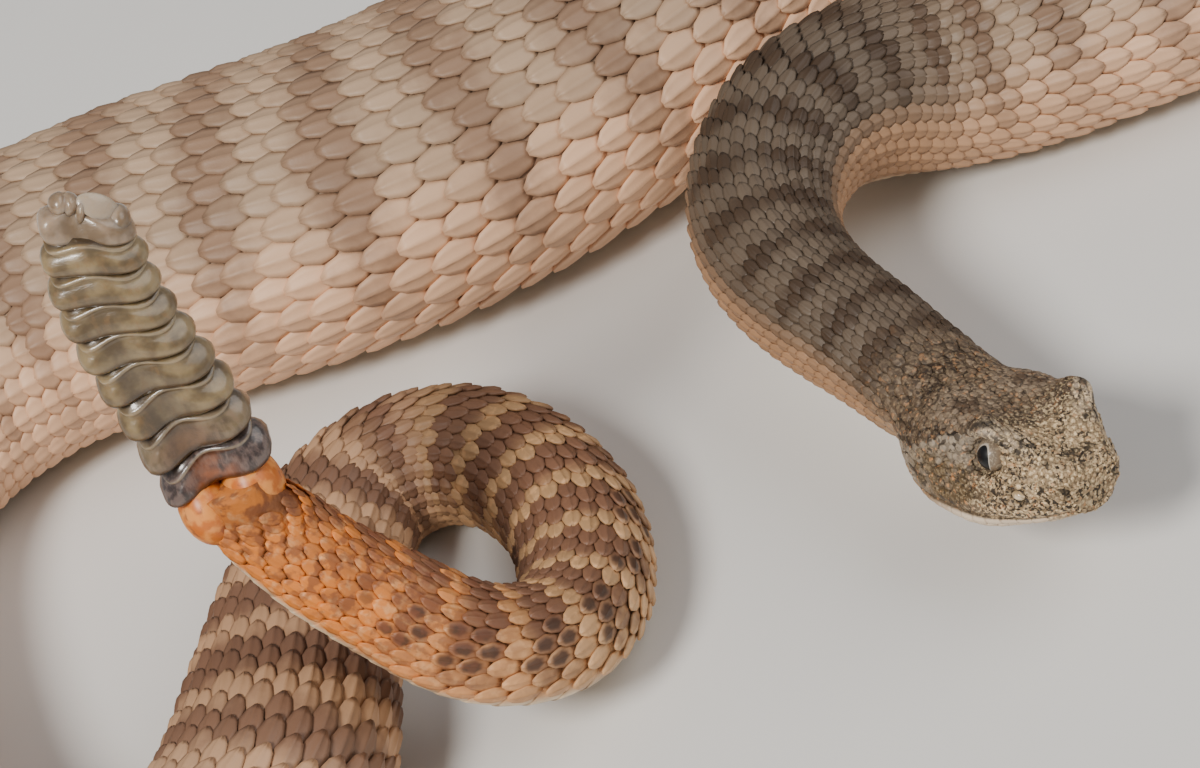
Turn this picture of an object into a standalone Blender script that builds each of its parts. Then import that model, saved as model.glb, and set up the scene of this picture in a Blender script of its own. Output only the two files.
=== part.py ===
"""A tiger rattlesnake at life size, lying in an open coil with its neck, head and rattle raised.

Lengths are in millimetres and turned into metres where a mesh is made. The body is a loft along one
smooth path from the back of the head to the root of the rattle, parted by thin cuts. Z is up, the floor
is z = 0 and the origin lies under the middle of the bounding box.
"""

import math

import bpy
import numpy as np

MM = 0.001
GAP = 0.3
SIDES = 20

# The head, with its length from the snout to the cut at the neck.
HEAD_LENGTH = 31.5
HEAD_HEADING = -72.4
HEAD_PITCH = 4.9
HEAD_ROLL = -17.0
EYE_RADIUS = 0.070
EYE_PLACE = (-0.350, 0.207, 0.164)
BROW_PLACE = (-0.370, 0.222, 0.262)
BROW_RADII = (0.125, 0.064, 0.036)
NOSTRIL_PLACE = (-0.052, 0.148, 0.104)
NOSTRIL_RADIUS = 0.026
PIT_PLACE = (-0.188, 0.238, 0.045)
PIT_RADIUS = 0.032

# The body.
BELLY = 0.86
SCUTE_STEP = 0.35
SCUTE_PITCH = 9.5
TAIL_SCUTE_PITCH = 6.5
VENT = 694.0
REST_FROM = 108.0
REST_RUN = 46.0
REST_TO = 690.0
ORIGIN_SHIFT = (-13.57, -64.74)

# The rattle: eight rings, each a little lower and narrower than the newer one under it, and a tip.
RATTLE_AXIS = (0.030, 0.180, 0.983)
RATTLE_WIDE = (1.0, 0.0, 0.0)
RATTLE_TURN = 14.0
RINGS = 8
FIRST_RING = 6.2
NEXT_RING = 4.95
RING_CLOSING = 0.17
TIP_FOOT = 1.9
RATTLE_BASE = 15.0
RATTLE_TOP = 12.7
TIP_WIDTH = 10.8
RATTLE_FLATNESS = 0.60

# The bend of the rattle: height up it, bow to its right and lean in degrees.
RATTLE_BEND = [
    (0.0, 0.0, 0.0),
    (3.2, 0.5, 5.0),
    (8.0, 0.0, 4.5),
    (13.0, -0.4, 0.0),
    (22.5, -1.5, -9.0),
    (31.4, -1.7, -17.5),
    (39.2, -0.4, -27.0),
    (43.0, 0.3, -33.0),
]

# Lobes of the worn tip: place across and up from its middle, and radii across, through and up.
TIP_MIDDLE = 39.7
TIP_LOBES = [
    (-2.5, 0.0, (3.2, 3.2, 2.0)),
    (2.4, 0.0, (3.3, 3.4, 2.0)),
    (-2.2, 2.3, (1.8, 1.9, 1.7)),
    (1.6, 2.4, (2.7, 2.1, 1.4)),
]

# Plan of the path: x, y and the height of the belly over the floor.
ROUTE = [
    (39.2, 5.5, 11.3),  # back of the head
    (34.4, 19.7, 10.8),
    (29.8, 34.3, 11.2),  # raised neck
    (29.5, 47.4, 11.4),
    (34.6, 58.8, 11.1),  # tight bend of the neck
    (43.5, 66.8, 9.2),
    (54.7, 71.0, 5.8),
    (75.2, 69.6, 0.0),  # forebody comes down to the floor
    (97.8, 68.6, 0.0),
    (120.3, 74.3, 0.0),
    (138.2, 90.2, 0.0),  # right-hand turn of the coil
    (141.0, 113.7, 0.0),
    (125.0, 132.1, 0.0),
    (97.8, 134.4, 0.0),
    (60.2, 122.2, 0.0),
    (22.5, 105.0, 0.0),  # thickest stretch, along the back
    (-7.5, 100.2, 0.0),
    (-38.5, 105.6, 0.0),
    (-69.6, 110.9, 0.0),
    (-96.8, 102.5, 0.0),
    (-112.8, 80.8, 0.0),  # left-hand turn
    (-117.5, 53.6, 0.0),
    (-115.6, 26.3, 0.0),
    (-107.2, 0.9, 0.0),
    (-87.4, -15.0, 0.0),  # front left turn
    (-67.2, -8.5, 0.0),
    (-55.3, 12.2, 0.0),
    (-49.3, 27.9, 0.0),
    (-43.5, 39.6, 0.0),
    (-35.6, 48.4, 0.0),  # tail loop
    (-25.4, 49.2, 0.0),
    (-12.4, 31.6, 0.0),
    (-12.5, 15.1, 0.5),
    (-18.7, 2.7, 3.9),
    (-27.4, -0.8, 10.7),  # tail climbs
    (-35.3, 2.1, 20.3),
    (-41.4, 5.3, 30.0),
    (-45.2, 8.0, 39.4),
    (-47.2, 9.9, 47.6),  # root of the rattle
]

# Distance along the path, half-width and half-height.
GIRTH = [
    (0, 8.4, 7.0),
    (30, 9.4, 8.8),
    (56, 11.3, 10.6),
    (80, 14.3, 13.0),
    (124, 19.0, 15.6),
    (171, 23.1, 17.9),
    (219, 26.1, 19.6),
    (286, 27.6, 20.3),
    (357, 27.8, 20.5),
    (420, 26.9, 19.9),
    (475, 23.9, 18.4),
    (530, 20.7, 16.5),
    (582, 17.9, 14.9),
    (627, 15.4, 13.4),
    (657, 12.4, 11.0),
    (680, 10.3, 9.7),
    (702, 9.3, 8.9),
    (732, 8.8, 8.6),
    (756, 8.2, 8.1),
    (774, 7.2, 7.5),
    (792, 5.2, 6.7),
]

# Distance along the path and the roll of the body about it, in degrees.
TWIST = [(0, 17.0), (25, 13.0), (60, 3.0), (95, 0.0), (700, 0.0), (730, 8.0), (760, 28.0), (790, 36.0)]

# Names of the lengths that the body is parted into, and where each one ends.
LENGTHS = [
    ("neck_front", 42),
    ("neck_bend", 88),
    ("body_1", 136),
    ("body_2", 188),
    ("body_3", 242),
    ("body_4", 306),
    ("body_5", 372),
    ("body_6", 438),
    ("body_7", 500),
    ("body_8", 560),
    ("body_9", 616),
    ("body_10", 658),
    ("tail_base", 694),
    ("tail_middle", 728),
    ("tail_raised", 760),
    ("tail_end", 900),
]

# Outline of the head at stations from the snout back, as fractions of its length: the height of the
# crown, the brow edge, the side at eye level, the lip, the side of the jaw, and the chin.
HEAD_STATIONS = [
    (0.000, 0.110, (0.070, 0.105), (0.085, 0.075), (0.080, 0.040), (0.055, 0.018), 0.006),
    (-0.025, 0.150, (0.105, 0.145), (0.126, 0.105), (0.117, 0.044), (0.079, 0.002), -0.026),
    (-0.110, 0.188, (0.145, 0.188), (0.180, 0.130), (0.200, 0.040), (0.160, -0.045), -0.088),
    (-0.220, 0.218, (0.200, 0.224), (0.225, 0.155), (0.255, 0.042), (0.218, -0.084), -0.132),
    (-0.350, 0.242, (0.255, 0.268), (0.262, 0.175), (0.296, 0.042), (0.280, -0.126), -0.172),
    (-0.470, 0.250, (0.245, 0.255), (0.290, 0.170), (0.322, 0.035), (0.308, -0.148), -0.196),
    (-0.600, 0.252, (0.235, 0.238), (0.312, 0.158), (0.342, 0.024), (0.322, -0.150), -0.192),
    (-0.740, 0.247, (0.216, 0.214), (0.308, 0.138), (0.344, 0.010), (0.318, -0.140), -0.184),
    (-0.860, 0.247, (0.178, 0.200), (0.270, 0.126), (0.314, 0.008), (0.280, -0.120), -0.162),
    (-0.950, 0.260, (0.172, 0.218), (0.254, 0.134), (0.276, 0.036), (0.230, -0.092), -0.136),
    (-1.000, 0.268, (0.165, 0.228), (0.245, 0.145), (0.262, 0.055), (0.205, -0.070), -0.115),
]

# Side view of the mouth: the lip line from the snout to the corner, then down the throat.
MOUTH_LINE = [
    (0.10, -0.004),
    (-0.02, -0.014),
    (-0.06, -0.034),
    (-0.10, -0.050),
    (-0.20, -0.084),
    (-0.30, -0.099),
    (-0.45, -0.111),
    (-0.60, -0.120),
    (-0.68, -0.124),
]
THROAT_LINE = [(-0.76, -0.150), (-0.79, -0.30), (0.10, -0.30)]


def clear_scene():
    for old in list(bpy.data.objects):
        bpy.data.objects.remove(old, do_unlink=True)


def skin_material(name, colour, roughness):
    material = bpy.data.materials.new(name)
    material.use_nodes = True
    shader = material.node_tree.nodes["Principled BSDF"]
    shader.inputs["Base Color"].default_value = (*colour, 1.0)
    shader.inputs["Roughness"].default_value = roughness
    return material


def mesh_object(name, points, faces, material=None):
    """An object from points in millimetres."""
    mesh = bpy.data.meshes.new(name)
    mesh.from_pydata([tuple(float(c) * MM for c in point) for point in points], [], faces)
    mesh.update()
    made = bpy.data.objects.new(name, mesh)
    bpy.context.scene.collection.objects.link(made)
    if material:
        mesh.materials.append(material)
    return made


def loft(name, rings, material=None):
    """A closed skin over rings of equal count, each running from the crown towards the right side."""
    count = len(rings[0])
    points = [point for ring in rings for point in ring]
    faces = []
    for row in range(len(rings) - 1):
        near, far = row * count, (row + 1) * count
        for side in range(count):
            after = (side + 1) % count
            faces.append((near + side, near + after, far + after, far + side))
    first_middle, last_middle = len(points), len(points) + 1
    points.append(np.mean(rings[0], axis=0))
    points.append(np.mean(rings[-1], axis=0))
    last = (len(rings) - 1) * count
    for side in range(count):
        after = (side + 1) % count
        faces.append((first_middle, after, side))
        faces.append((last_middle, last + side, last + after))
    return mesh_object(name, points, faces, material)


def smooth(knots, values, at):
    """A natural cubic spline through the values at the knots."""
    knots, values, at = (np.asarray(part, float) for part in (knots, values, at))
    step = np.diff(knots)
    size = len(knots)
    system = np.eye(size)
    right = np.zeros(size)
    for row in range(1, size - 1):
        system[row, row - 1 : row + 2] = step[row - 1], 2 * (step[row - 1] + step[row]), step[row]
        slopes = (values[row + 1] - values[row]) / step[row] - (values[row] - values[row - 1]) / step[row - 1]
        right[row] = 6 * slopes
    bend = np.linalg.solve(system, right)
    row = np.clip(np.searchsorted(knots, at) - 1, 0, size - 2)
    width = step[row]
    before, after = knots[row + 1] - at, at - knots[row]
    curve = (bend[row] * before**3 + bend[row + 1] * after**3) / (6 * width)
    line = (values[row] / width - bend[row] * width / 6) * before
    return curve + line + (values[row + 1] / width - bend[row + 1] * width / 6) * after


def ease(amount):
    amount = np.clip(amount, 0.0, 1.0)
    return amount * amount * (3 - 2 * amount)


def unit(vector):
    return vector / np.linalg.norm(vector)


class Path:
    """The middle line of the body, with its size and its roll at each distance from the head."""

    def __init__(self, head_forward):
        plan = np.array(ROUTE, float)
        plan[:, :2] += ORIGIN_SHIFT
        knots = np.concatenate([[0], np.cumsum(np.linalg.norm(np.diff(plan, axis=0), axis=1))])
        fine = np.linspace(0, knots[-1], 4000)
        line = np.stack([smooth(knots, plan[:, axis], fine) for axis in range(3)], axis=1)
        along = np.concatenate([[0], np.cumsum(np.linalg.norm(np.diff(line, axis=0), axis=1))])
        self.along = np.arange(0.0, along[-1], 0.5)
        self.line = np.stack([np.interp(self.along, along, line[:, axis]) for axis in range(3)], axis=1)
        landing = ease((self.along - REST_FROM + REST_RUN) / REST_RUN)
        raised = 1 - landing * ease((REST_TO + 14 - self.along) / 14)
        self.line[:, 2] = np.maximum(self.line[:, 2], 0) * raised
        self.length = self.along[-1]
        self.forward = head_forward

    def at(self, distance):
        """Centre, forward, right and upward directions, half-width and half-height."""
        place = [np.interp(distance, self.along, self.line[:, axis]) for axis in range(3)]
        reach = 2.0
        ahead = [np.interp(distance + reach, self.along, self.line[:, axis]) for axis in range(3)]
        behind = [np.interp(distance - reach, self.along, self.line[:, axis]) for axis in range(3)]
        forward = unit(np.subtract(ahead, behind))
        forward = unit((1 - ease(distance / 14)) * -self.forward + ease(distance / 14) * forward)
        turn = ease((distance - self.length + RATTLE_TURN) / RATTLE_TURN)
        forward = unit((1 - turn) * forward + turn * unit(np.array(RATTLE_AXIS)))
        right = unit(np.cross(forward, (0, 0, 1)))
        up = np.cross(right, forward)
        roll = math.radians(np.interp(distance, *zip(*TWIST)))
        stations, widths, heights = zip(*GIRTH)
        half_width = float(smooth(stations, widths, distance))
        half_height = float(smooth(stations, heights, distance))
        centre = np.array(place) + np.array((0, 0, BELLY * half_height))
        rolled_up = up * math.cos(roll) + right * math.sin(roll)
        rolled_right = right * math.cos(roll) - up * math.sin(roll)
        return centre, forward, rolled_right, rolled_up, half_width, half_height

    def ring(self, distance, belly_lift):
        centre, _, right, up, half_width, half_height = self.at(distance)
        turns = np.arange(SIDES) * 2 * math.pi / SIDES
        across = half_width * np.sin(turns)
        height = np.maximum(half_height * np.cos(turns), -BELLY * half_height + belly_lift)
        ring = centre + across[:, None] * right + height[:, None] * up
        ring[:, 2] = np.maximum(ring[:, 2], 0.0)
        return ring


def head_frame(path_start):
    """Turns a point given as fractions of the head's length into place. The start is the neck's middle."""
    heading, pitch, roll = (math.radians(a) for a in (HEAD_HEADING, HEAD_PITCH, HEAD_ROLL))
    forward = np.array(
        (math.cos(heading) * math.cos(pitch), math.sin(heading) * math.cos(pitch), math.sin(pitch))
    )
    level_left = unit(np.cross((0, 0, 1), forward))
    level_up = np.cross(forward, level_left)
    left = level_left * math.cos(roll) + level_up * math.sin(roll)
    up = level_up * math.cos(roll) - level_left * math.sin(roll)
    axes = np.stack([forward, left, up])
    neck_middle = np.array((-1.0, 0.0, 0.085))

    def place(points):
        local = (np.asarray(points, float) - neck_middle) * HEAD_LENGTH
        return path_start + local @ axes

    return place, forward


def head_ring(station):
    """One section of the head from its half outline, mirrored, from the crown down the right side."""
    _, crown, brow, side, lip, jaw, chin = station
    half = np.array([(0, crown), brow, side, lip, jaw, (0, chin)], float)
    knots = np.concatenate([[0], np.cumsum(np.linalg.norm(np.diff(half, axis=0), axis=1))])
    mirrored = np.array([(-brow[0], brow[1]), *half, (-jaw[0], jaw[1])], float)
    outer = np.concatenate([[-knots[1]], knots, [knots[-1] + knots[-1] - knots[-2]]])
    steps = np.concatenate([np.linspace(a, b, 3, endpoint=False) for a, b in zip(knots[:-1], knots[1:])])
    steps = np.append(steps, knots[-1])
    y, z = (smooth(outer, mirrored[:, axis], steps) for axis in range(2))
    y[0] = y[-1] = 0.0
    right_side = np.stack([-y, z], axis=1)
    left_side = np.stack([y, z], axis=1)[-2:0:-1]
    return np.concatenate([right_side, left_side])


def head_rings():
    rows = np.array([np.hstack([[s[0], s[1]], *s[2:6], [s[6]]]) for s in HEAD_STATIONS])
    along = -rows[:, 0]
    fine = np.concatenate([[0, 0.012, 0.03, 0.06, 0.1], np.linspace(0.15, 1.0, 18)])
    smoothed = np.stack([smooth(along, rows[:, column], fine) for column in range(1, rows.shape[1])], axis=1)
    rings = []
    for distance, row in zip(fine, smoothed):
        station = (-distance, row[0], row[1:3], row[3:5], row[5:7], row[7:9], row[9])
        outline = head_ring(station)
        rings.append(np.column_stack([np.full(len(outline), -distance), outline]))
    return rings


def prism(name, outline, half_width, place):
    """A block with a side view given as (x, z) points."""
    count = len(outline)
    points = [(x, side, z) for side in (-half_width, half_width) for x, z in outline]
    faces = [tuple(range(count)), tuple(range(2 * count - 1, count - 1, -1))]
    for edge in range(count):
        after = (edge + 1) % count
        faces.append((edge, edge + count, after + count, after))
    return mesh_object(name, place(points), faces)


def ball(name, middle, radii, place, material=None, turns=16, rows=10):
    """An ellipsoid on the axes that `place` turns into the animal's."""
    points = [(middle[0], middle[1], middle[2] + radii[2])]
    for row in range(1, rows):
        height = math.cos(math.pi * row / rows)
        around = math.sin(math.pi * row / rows)
        for turn in range(turns):
            angle = 2 * math.pi * turn / turns
            points.append(
                (
                    middle[0] + radii[0] * around * math.cos(angle),
                    middle[1] + radii[1] * around * math.sin(angle),
                    middle[2] + radii[2] * height,
                )
            )
    points.append((middle[0], middle[1], middle[2] - radii[2]))
    faces = []
    last = len(points) - 1
    for turn in range(turns):
        after = (turn + 1) % turns
        faces.append((0, 1 + turn, 1 + after))
        for row in range(rows - 2):
            upper, lower = 1 + row * turns, 1 + (row + 1) * turns
            faces.append((upper + turn, lower + turn, lower + after, upper + after))
        lower = 1 + (rows - 2) * turns
        faces.append((last, lower + after, lower + turn))
    return mesh_object(name, place(points), faces, material)


def hide(helper):
    helper.hide_render = True
    helper.display_type = "WIRE"
    return helper


def boolean(target, operation, helpers):
    """Cuts or joins the helpers, kept together in a collection of their own."""
    group = bpy.data.collections.new(f"{target.name}_{operation.lower()}")
    bpy.context.scene.collection.children.link(group)
    for helper in helpers:
        hide(helper)
        bpy.context.scene.collection.objects.unlink(helper)
        group.objects.link(helper)
    group.hide_render = True
    modifier = target.modifiers.new(operation.title(), "BOOLEAN")
    modifier.operation = operation
    modifier.operand_type = "COLLECTION"
    modifier.collection = group
    modifier.solver = "EXACT"


def build_head(place, skin, eye_skin):
    rings = [place(ring) for ring in head_rings()[::-1]]
    head = loft("head", [ring[::-1] for ring in rings[::-1]], skin)
    jaw = loft("lower_jaw", [ring[::-1] for ring in rings[::-1]], skin)
    gap = GAP / HEAD_LENGTH
    mouth = prism("mouth_block", MOUTH_LINE + THROAT_LINE, 0.6, place)
    inner_mouth = [(x + gap, z - gap) for x, z in MOUTH_LINE + THROAT_LINE]
    jaw_block = prism("jaw_block", inner_mouth, 0.6, place)
    sockets, brows = [], []
    for side, name in ((1, "left"), (-1, "right")):
        eye_middle = (EYE_PLACE[0], side * EYE_PLACE[1], EYE_PLACE[2])
        ball(f"eye_{name}", eye_middle, [EYE_RADIUS] * 3, place, eye_skin)
        sockets.append(ball(f"socket_{name}", eye_middle, [EYE_RADIUS + gap] * 3, place))
        nostril = (NOSTRIL_PLACE[0], side * NOSTRIL_PLACE[1], NOSTRIL_PLACE[2])
        sockets.append(ball(f"nostril_{name}", nostril, [NOSTRIL_RADIUS] * 3, place, None, 10, 6))
        pit = (PIT_PLACE[0], side * PIT_PLACE[1], PIT_PLACE[2])
        sockets.append(ball(f"pit_{name}", pit, [PIT_RADIUS] * 3, place, None, 10, 6))
        brow = (BROW_PLACE[0], side * BROW_PLACE[1], BROW_PLACE[2])
        brows.append(ball(f"brow_{name}", brow, BROW_RADII, place, None, 16, 8))
    boolean(head, "UNION", brows)
    boolean(head, "DIFFERENCE", [mouth] + sockets)
    boolean(jaw, "INTERSECT", [jaw_block])


def build_length(path, name, start, end, pitch, skin):
    """One length of the body, its belly stepped into scutes that overlap towards the tail."""
    count = max(2, round((end - start) / pitch))
    edges = np.linspace(start, end, count + 1)
    rings = []
    for scute in range(count):
        first = edges[scute] + (GAP / 2 if scute == 0 else 0)
        last = edges[scute + 1] - (GAP / 2 if scute == count - 1 else 0.25)
        rings.append(path.ring(first, SCUTE_STEP))
        rings.append(path.ring(first + 0.28 * pitch, 0.0))
        rings.append(path.ring(last, 0.0))
    loft(name, rings, skin)


def rattle_section(centre, wide, thin, half_wide, half_thin, groove):
    """A flattened round with a groove down the middle of both broad sides."""
    turns = np.arange(SIDES) * 2 * math.pi / SIDES
    dip = 1 - groove * np.abs(np.sin(turns)) ** 9
    across = half_thin * np.sin(turns) * dip
    height = half_wide * np.cos(turns)
    return centre + across[:, None] * thin + height[:, None] * wide


def rattle_frame(foot, up):
    """Middle of the rattle at this height, and its wide, thin and onward directions there."""
    heights, bows, leans = zip(*RATTLE_BEND)
    bow = float(smooth(heights, bows, up))
    lean = math.radians(float(smooth(heights, leans, up)))
    axis = unit(np.array(RATTLE_AXIS))
    wide = unit(RATTLE_WIDE - axis * np.dot(RATTLE_WIDE, axis))
    thin = np.cross(axis, wide)
    middle = foot + axis * up + wide * bow
    leaning_wide = wide * math.cos(lean) + axis * math.sin(lean)
    onward = axis * math.cos(lean) - wide * math.sin(lean)
    return middle, np.stack([leaning_wide, thin, onward])


def build_rattle(path, horn, dark_horn):
    """Loose rings of horn, each a bulge that narrows into the older ring over it, and a lobed tip."""
    foot = path.at(path.length)[0]
    start = GAP
    for index in range(RINGS + 1):
        is_tip = index == RINGS
        half_wide = 0.5 * (RATTLE_BASE + (RATTLE_TOP - RATTLE_BASE) * (index / (RINGS - 1)) ** 2.2)
        height = FIRST_RING - GAP if index == 0 else NEXT_RING - RING_CLOSING * (index - 1)
        if is_tip:
            half_wide, height = 0.5 * TIP_WIDTH, TIP_FOOT
        rings = []
        for rise, swell, groove in (
            (0.00, 0.86, 0.10),
            (0.14, 0.96, 0.16),
            (0.40, 1.00, 0.24),
            (0.68, 0.95, 0.20),
            (0.90, 0.84, 0.10),
            (1.00, 0.76, 0.04),
        ):
            middle, (wide, thin, _) = rattle_frame(foot, start + rise * (height - GAP))
            flat = RATTLE_FLATNESS * half_wide * swell
            rings.append(rattle_section(middle, wide, thin, half_wide * swell, flat, groove))
        segment = loft(f"rattle_{index + 1}", rings, dark_horn if index == 0 else horn)
        start += height
        if is_tip:
            middle, axes = rattle_frame(foot, TIP_MIDDLE)
            place = lambda points: middle + np.asarray(points, float) @ axes
            lobes = []
            for number, (across, up, radii) in enumerate(TIP_LOBES):
                lobes.append(ball(f"tip_lobe_{number + 1}", (across, 0.0, up), radii, place))
            boolean(segment, "UNION", lobes)


def build():
    clear_scene()
    stone_brown = skin_material("head_skin", (0.34, 0.26, 0.19), 0.75)
    pink_grey = skin_material("body_skin", (0.48, 0.31, 0.21), 0.75)
    banded = skin_material("tail_skin", (0.42, 0.24, 0.13), 0.75)
    orange = skin_material("tail_end_skin", (0.62, 0.27, 0.07), 0.70)
    horn = skin_material("rattle_horn", (0.36, 0.29, 0.16), 0.30)
    dark_horn = skin_material("new_rattle_horn", (0.16, 0.11, 0.09), 0.30)
    eye = skin_material("eye", (0.20, 0.17, 0.13), 0.08)

    _, forward = head_frame(np.zeros(3))
    path = Path(forward)
    place, _ = head_frame(path.at(0.0)[0])
    build_head(place, stone_brown, eye)
    start = GAP / 2
    for name, end in LENGTHS:
        end = min(end, path.length)
        on_tail = end > VENT
        skin = pink_grey
        if name.startswith("tail"):
            skin = orange if name == "tail_end" else banded
        pitch = TAIL_SCUTE_PITCH if on_tail else SCUTE_PITCH
        build_length(path, name, start, end, pitch, skin)
        start = end
    build_rattle(path, horn, dark_horn)


build()
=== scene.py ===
"""A tiger rattlesnake at life size, dressed for its portrait: skin, scales, plates, eyes and rattle."""

import math

import bpy
import numpy as np
from mathutils import Matrix, Vector


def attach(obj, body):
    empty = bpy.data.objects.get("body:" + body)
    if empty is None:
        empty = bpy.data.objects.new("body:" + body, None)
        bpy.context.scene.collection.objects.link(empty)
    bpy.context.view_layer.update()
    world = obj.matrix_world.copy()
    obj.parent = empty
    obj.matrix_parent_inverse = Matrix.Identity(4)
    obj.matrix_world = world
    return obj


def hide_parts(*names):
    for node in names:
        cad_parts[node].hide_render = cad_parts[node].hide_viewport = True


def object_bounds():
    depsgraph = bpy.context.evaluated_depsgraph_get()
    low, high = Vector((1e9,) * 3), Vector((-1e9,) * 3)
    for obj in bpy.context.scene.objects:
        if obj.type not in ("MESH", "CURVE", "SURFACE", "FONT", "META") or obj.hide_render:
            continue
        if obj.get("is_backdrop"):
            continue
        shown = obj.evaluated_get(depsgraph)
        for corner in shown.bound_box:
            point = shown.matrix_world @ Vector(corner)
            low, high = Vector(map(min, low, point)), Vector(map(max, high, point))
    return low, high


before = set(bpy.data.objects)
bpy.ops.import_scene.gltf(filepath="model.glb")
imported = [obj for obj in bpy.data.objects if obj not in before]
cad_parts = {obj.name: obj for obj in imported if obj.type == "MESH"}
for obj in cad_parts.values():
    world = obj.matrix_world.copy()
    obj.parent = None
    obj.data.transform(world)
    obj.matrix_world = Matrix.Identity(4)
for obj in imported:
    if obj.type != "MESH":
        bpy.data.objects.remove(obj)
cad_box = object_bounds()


# Camera
# A long lens more than half a metre from the animal, looking down on it and leaning to one side.
eye_line = Vector((-0.01357, -0.43920, 0.36260))
picture_right = Vector((0.8988, -0.2818, -0.3358)).normalized()
picture_back = Vector((0.0, -0.7660, 0.6428)).normalized()
picture_up = picture_back.cross(picture_right).normalized()
picture_right = picture_up.cross(picture_back)

camera_data = bpy.data.cameras.new("camera")
camera_data.sensor_fit = "HORIZONTAL"
camera_data.sensor_width = 36.0
camera_data.lens = 120.1
camera_data.clip_start = 0.01
camera_data.clip_end = 20.0
camera = bpy.data.objects.new("camera", camera_data)
camera.matrix_world = Matrix((
    (picture_right.x, picture_up.x, picture_back.x, eye_line.x),
    (picture_right.y, picture_up.y, picture_back.y, eye_line.y),
    (picture_right.z, picture_up.z, picture_back.z, eye_line.z),
    (0.0, 0.0, 0.0, 1.0),
))
bpy.context.scene.collection.objects.link(camera)
bpy.context.scene.camera = camera


# Table and light
# A plain pale table top, with one large soft light over the camera's left shoulder, as in the
# photograph, and a wide weak one that opens the shadows. Its paint, like every finish after it, is
# written as sums of wires.
MM = 0.001


class Wire:
    """One output socket. Arithmetic on it adds the nodes that work it out."""

    def __init__(self, tree, socket=None):
        self.tree = tree
        self.socket = socket

    def add(self, kind, settings=None, sockets=None, output=0):
        """A node of this kind, its settings made first, then its sockets' values or links."""
        node = self.tree.nodes.new(kind)
        for key, value in (settings or {}).items():
            setattr(node, key, value)
        for key, value in (sockets or {}).items():
            if isinstance(value, Wire):
                self.tree.links.new(value.socket, node.inputs[key])
            else:
                node.inputs[key].default_value = value
        return Wire(self.tree, node.outputs[output])

    def sum_of(self, operation, *values):
        return self.add("ShaderNodeMath", {"operation": operation}, dict(enumerate(values)))

    def __add__(self, other):
        return self.sum_of("ADD", self, other)

    def __sub__(self, other):
        return self.sum_of("SUBTRACT", self, other)

    def __rsub__(self, other):
        return self.sum_of("SUBTRACT", other, self)

    def __mul__(self, other):
        return self.sum_of("MULTIPLY", self, other)

    def __abs__(self):
        return self.sum_of("ABSOLUTE", self)

    __radd__ = __add__
    __rmul__ = __mul__

    def rise(self, low, high):
        """0 below low, 1 above high and a soft step between, whichever of the two is the greater."""
        settings = {"interpolation_type": "SMOOTHSTEP"}
        return self.add("ShaderNodeMapRange", settings, {0: self, 1: low, 2: high, 3: 0.0, 4: 1.0})

    def between(self, first, second):
        """The first colour where this wire is 0 and the second where it is 1."""
        colours = [c if isinstance(c, Wire) else (*c, 1.0) for c in (first, second)]
        sockets = {0: self, 6: colours[0], 7: colours[1]}
        return self.add("ShaderNodeMix", {"data_type": "RGBA"}, sockets, 2)

    def value(self, name):
        """An attribute of the piece's mesh."""
        return self.add("ShaderNodeAttribute", {"attribute_name": name}, None, 2)

    def here(self, steps, shift=0.0):
        """The place on the piece, counted in these steps."""
        place = self.add("ShaderNodeTexCoord", None, None, 3)
        scaled = {0: place, 1: tuple(steps), 2: (shift, shift, shift)}
        return self.add("ShaderNodeVectorMath", {"operation": "MULTIPLY_ADD"}, scaled)

    def cloud(self, grain, detail=2.0, roughness=0.5, stretch=(1.0, 1.0, 1.0), shift=0.0):
        """Soft noise whose patches are about this many millimetres across."""
        place = self.here((s / (grain * MM) for s in stretch), shift)
        return self.add("ShaderNodeTexNoise", None, {0: place, 2: 1.0, 3: detail, 4: roughness})

    def pebbles(self, grain):
        """Distance to the nearest of points strewn about this many millimetres apart."""
        place = self.here((1 / (grain * MM),) * 3)
        return self.add("ShaderNodeTexVoronoi", {"feature": "F1"}, {0: place, 2: 1.0})


def finish_of(name, **fixed):
    """A new material. Returns it, a wire to start from and a function that feeds the shader."""
    material = bpy.data.materials.new(name)
    material.use_nodes = True
    tree = material.node_tree
    shader = tree.nodes["Principled BSDF"]
    for key, value in fixed.items():
        shader.inputs[key.replace("_", " ")].default_value = value

    def feed(**wires):
        for key, wire in wires.items():
            tree.links.new(wire.socket, shader.inputs[key.replace("_", " ")])

    return material, Wire(tree), feed


table_paint, start, feed = finish_of("table_paint", Roughness=0.75)
grain = start.cloud(40.0, 3.0)
feed(Base_Color=grain.between((0.68, 0.67, 0.65), (0.73, 0.72, 0.70)))

table_mesh = bpy.data.meshes.new("table")
REACH = 3.0
corners = [(-REACH, -REACH, 0), (REACH, -REACH, 0), (REACH, REACH, 0), (-REACH, REACH, 0)]
table_mesh.from_pydata(corners, [], [(0, 1, 2, 3)])
table_mesh.materials.append(table_paint)
table = bpy.data.objects.new("table", table_mesh)
bpy.context.scene.collection.objects.link(table)
table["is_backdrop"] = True


def soft_light(name, place, target, size, power, colour):
    """A round lamp at this place, turned to the target. Size in metres, power in watts."""
    light = bpy.data.lights.new(name, "AREA")
    light.shape = "DISK"
    light.size = size
    light.energy = power
    light.color = colour
    lamp = bpy.data.objects.new(name, light)
    lamp.location = place
    lamp.rotation_euler = (Vector(target) - Vector(place)).to_track_quat("-Z", "Y").to_euler()
    bpy.context.scene.collection.objects.link(lamp)


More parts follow.
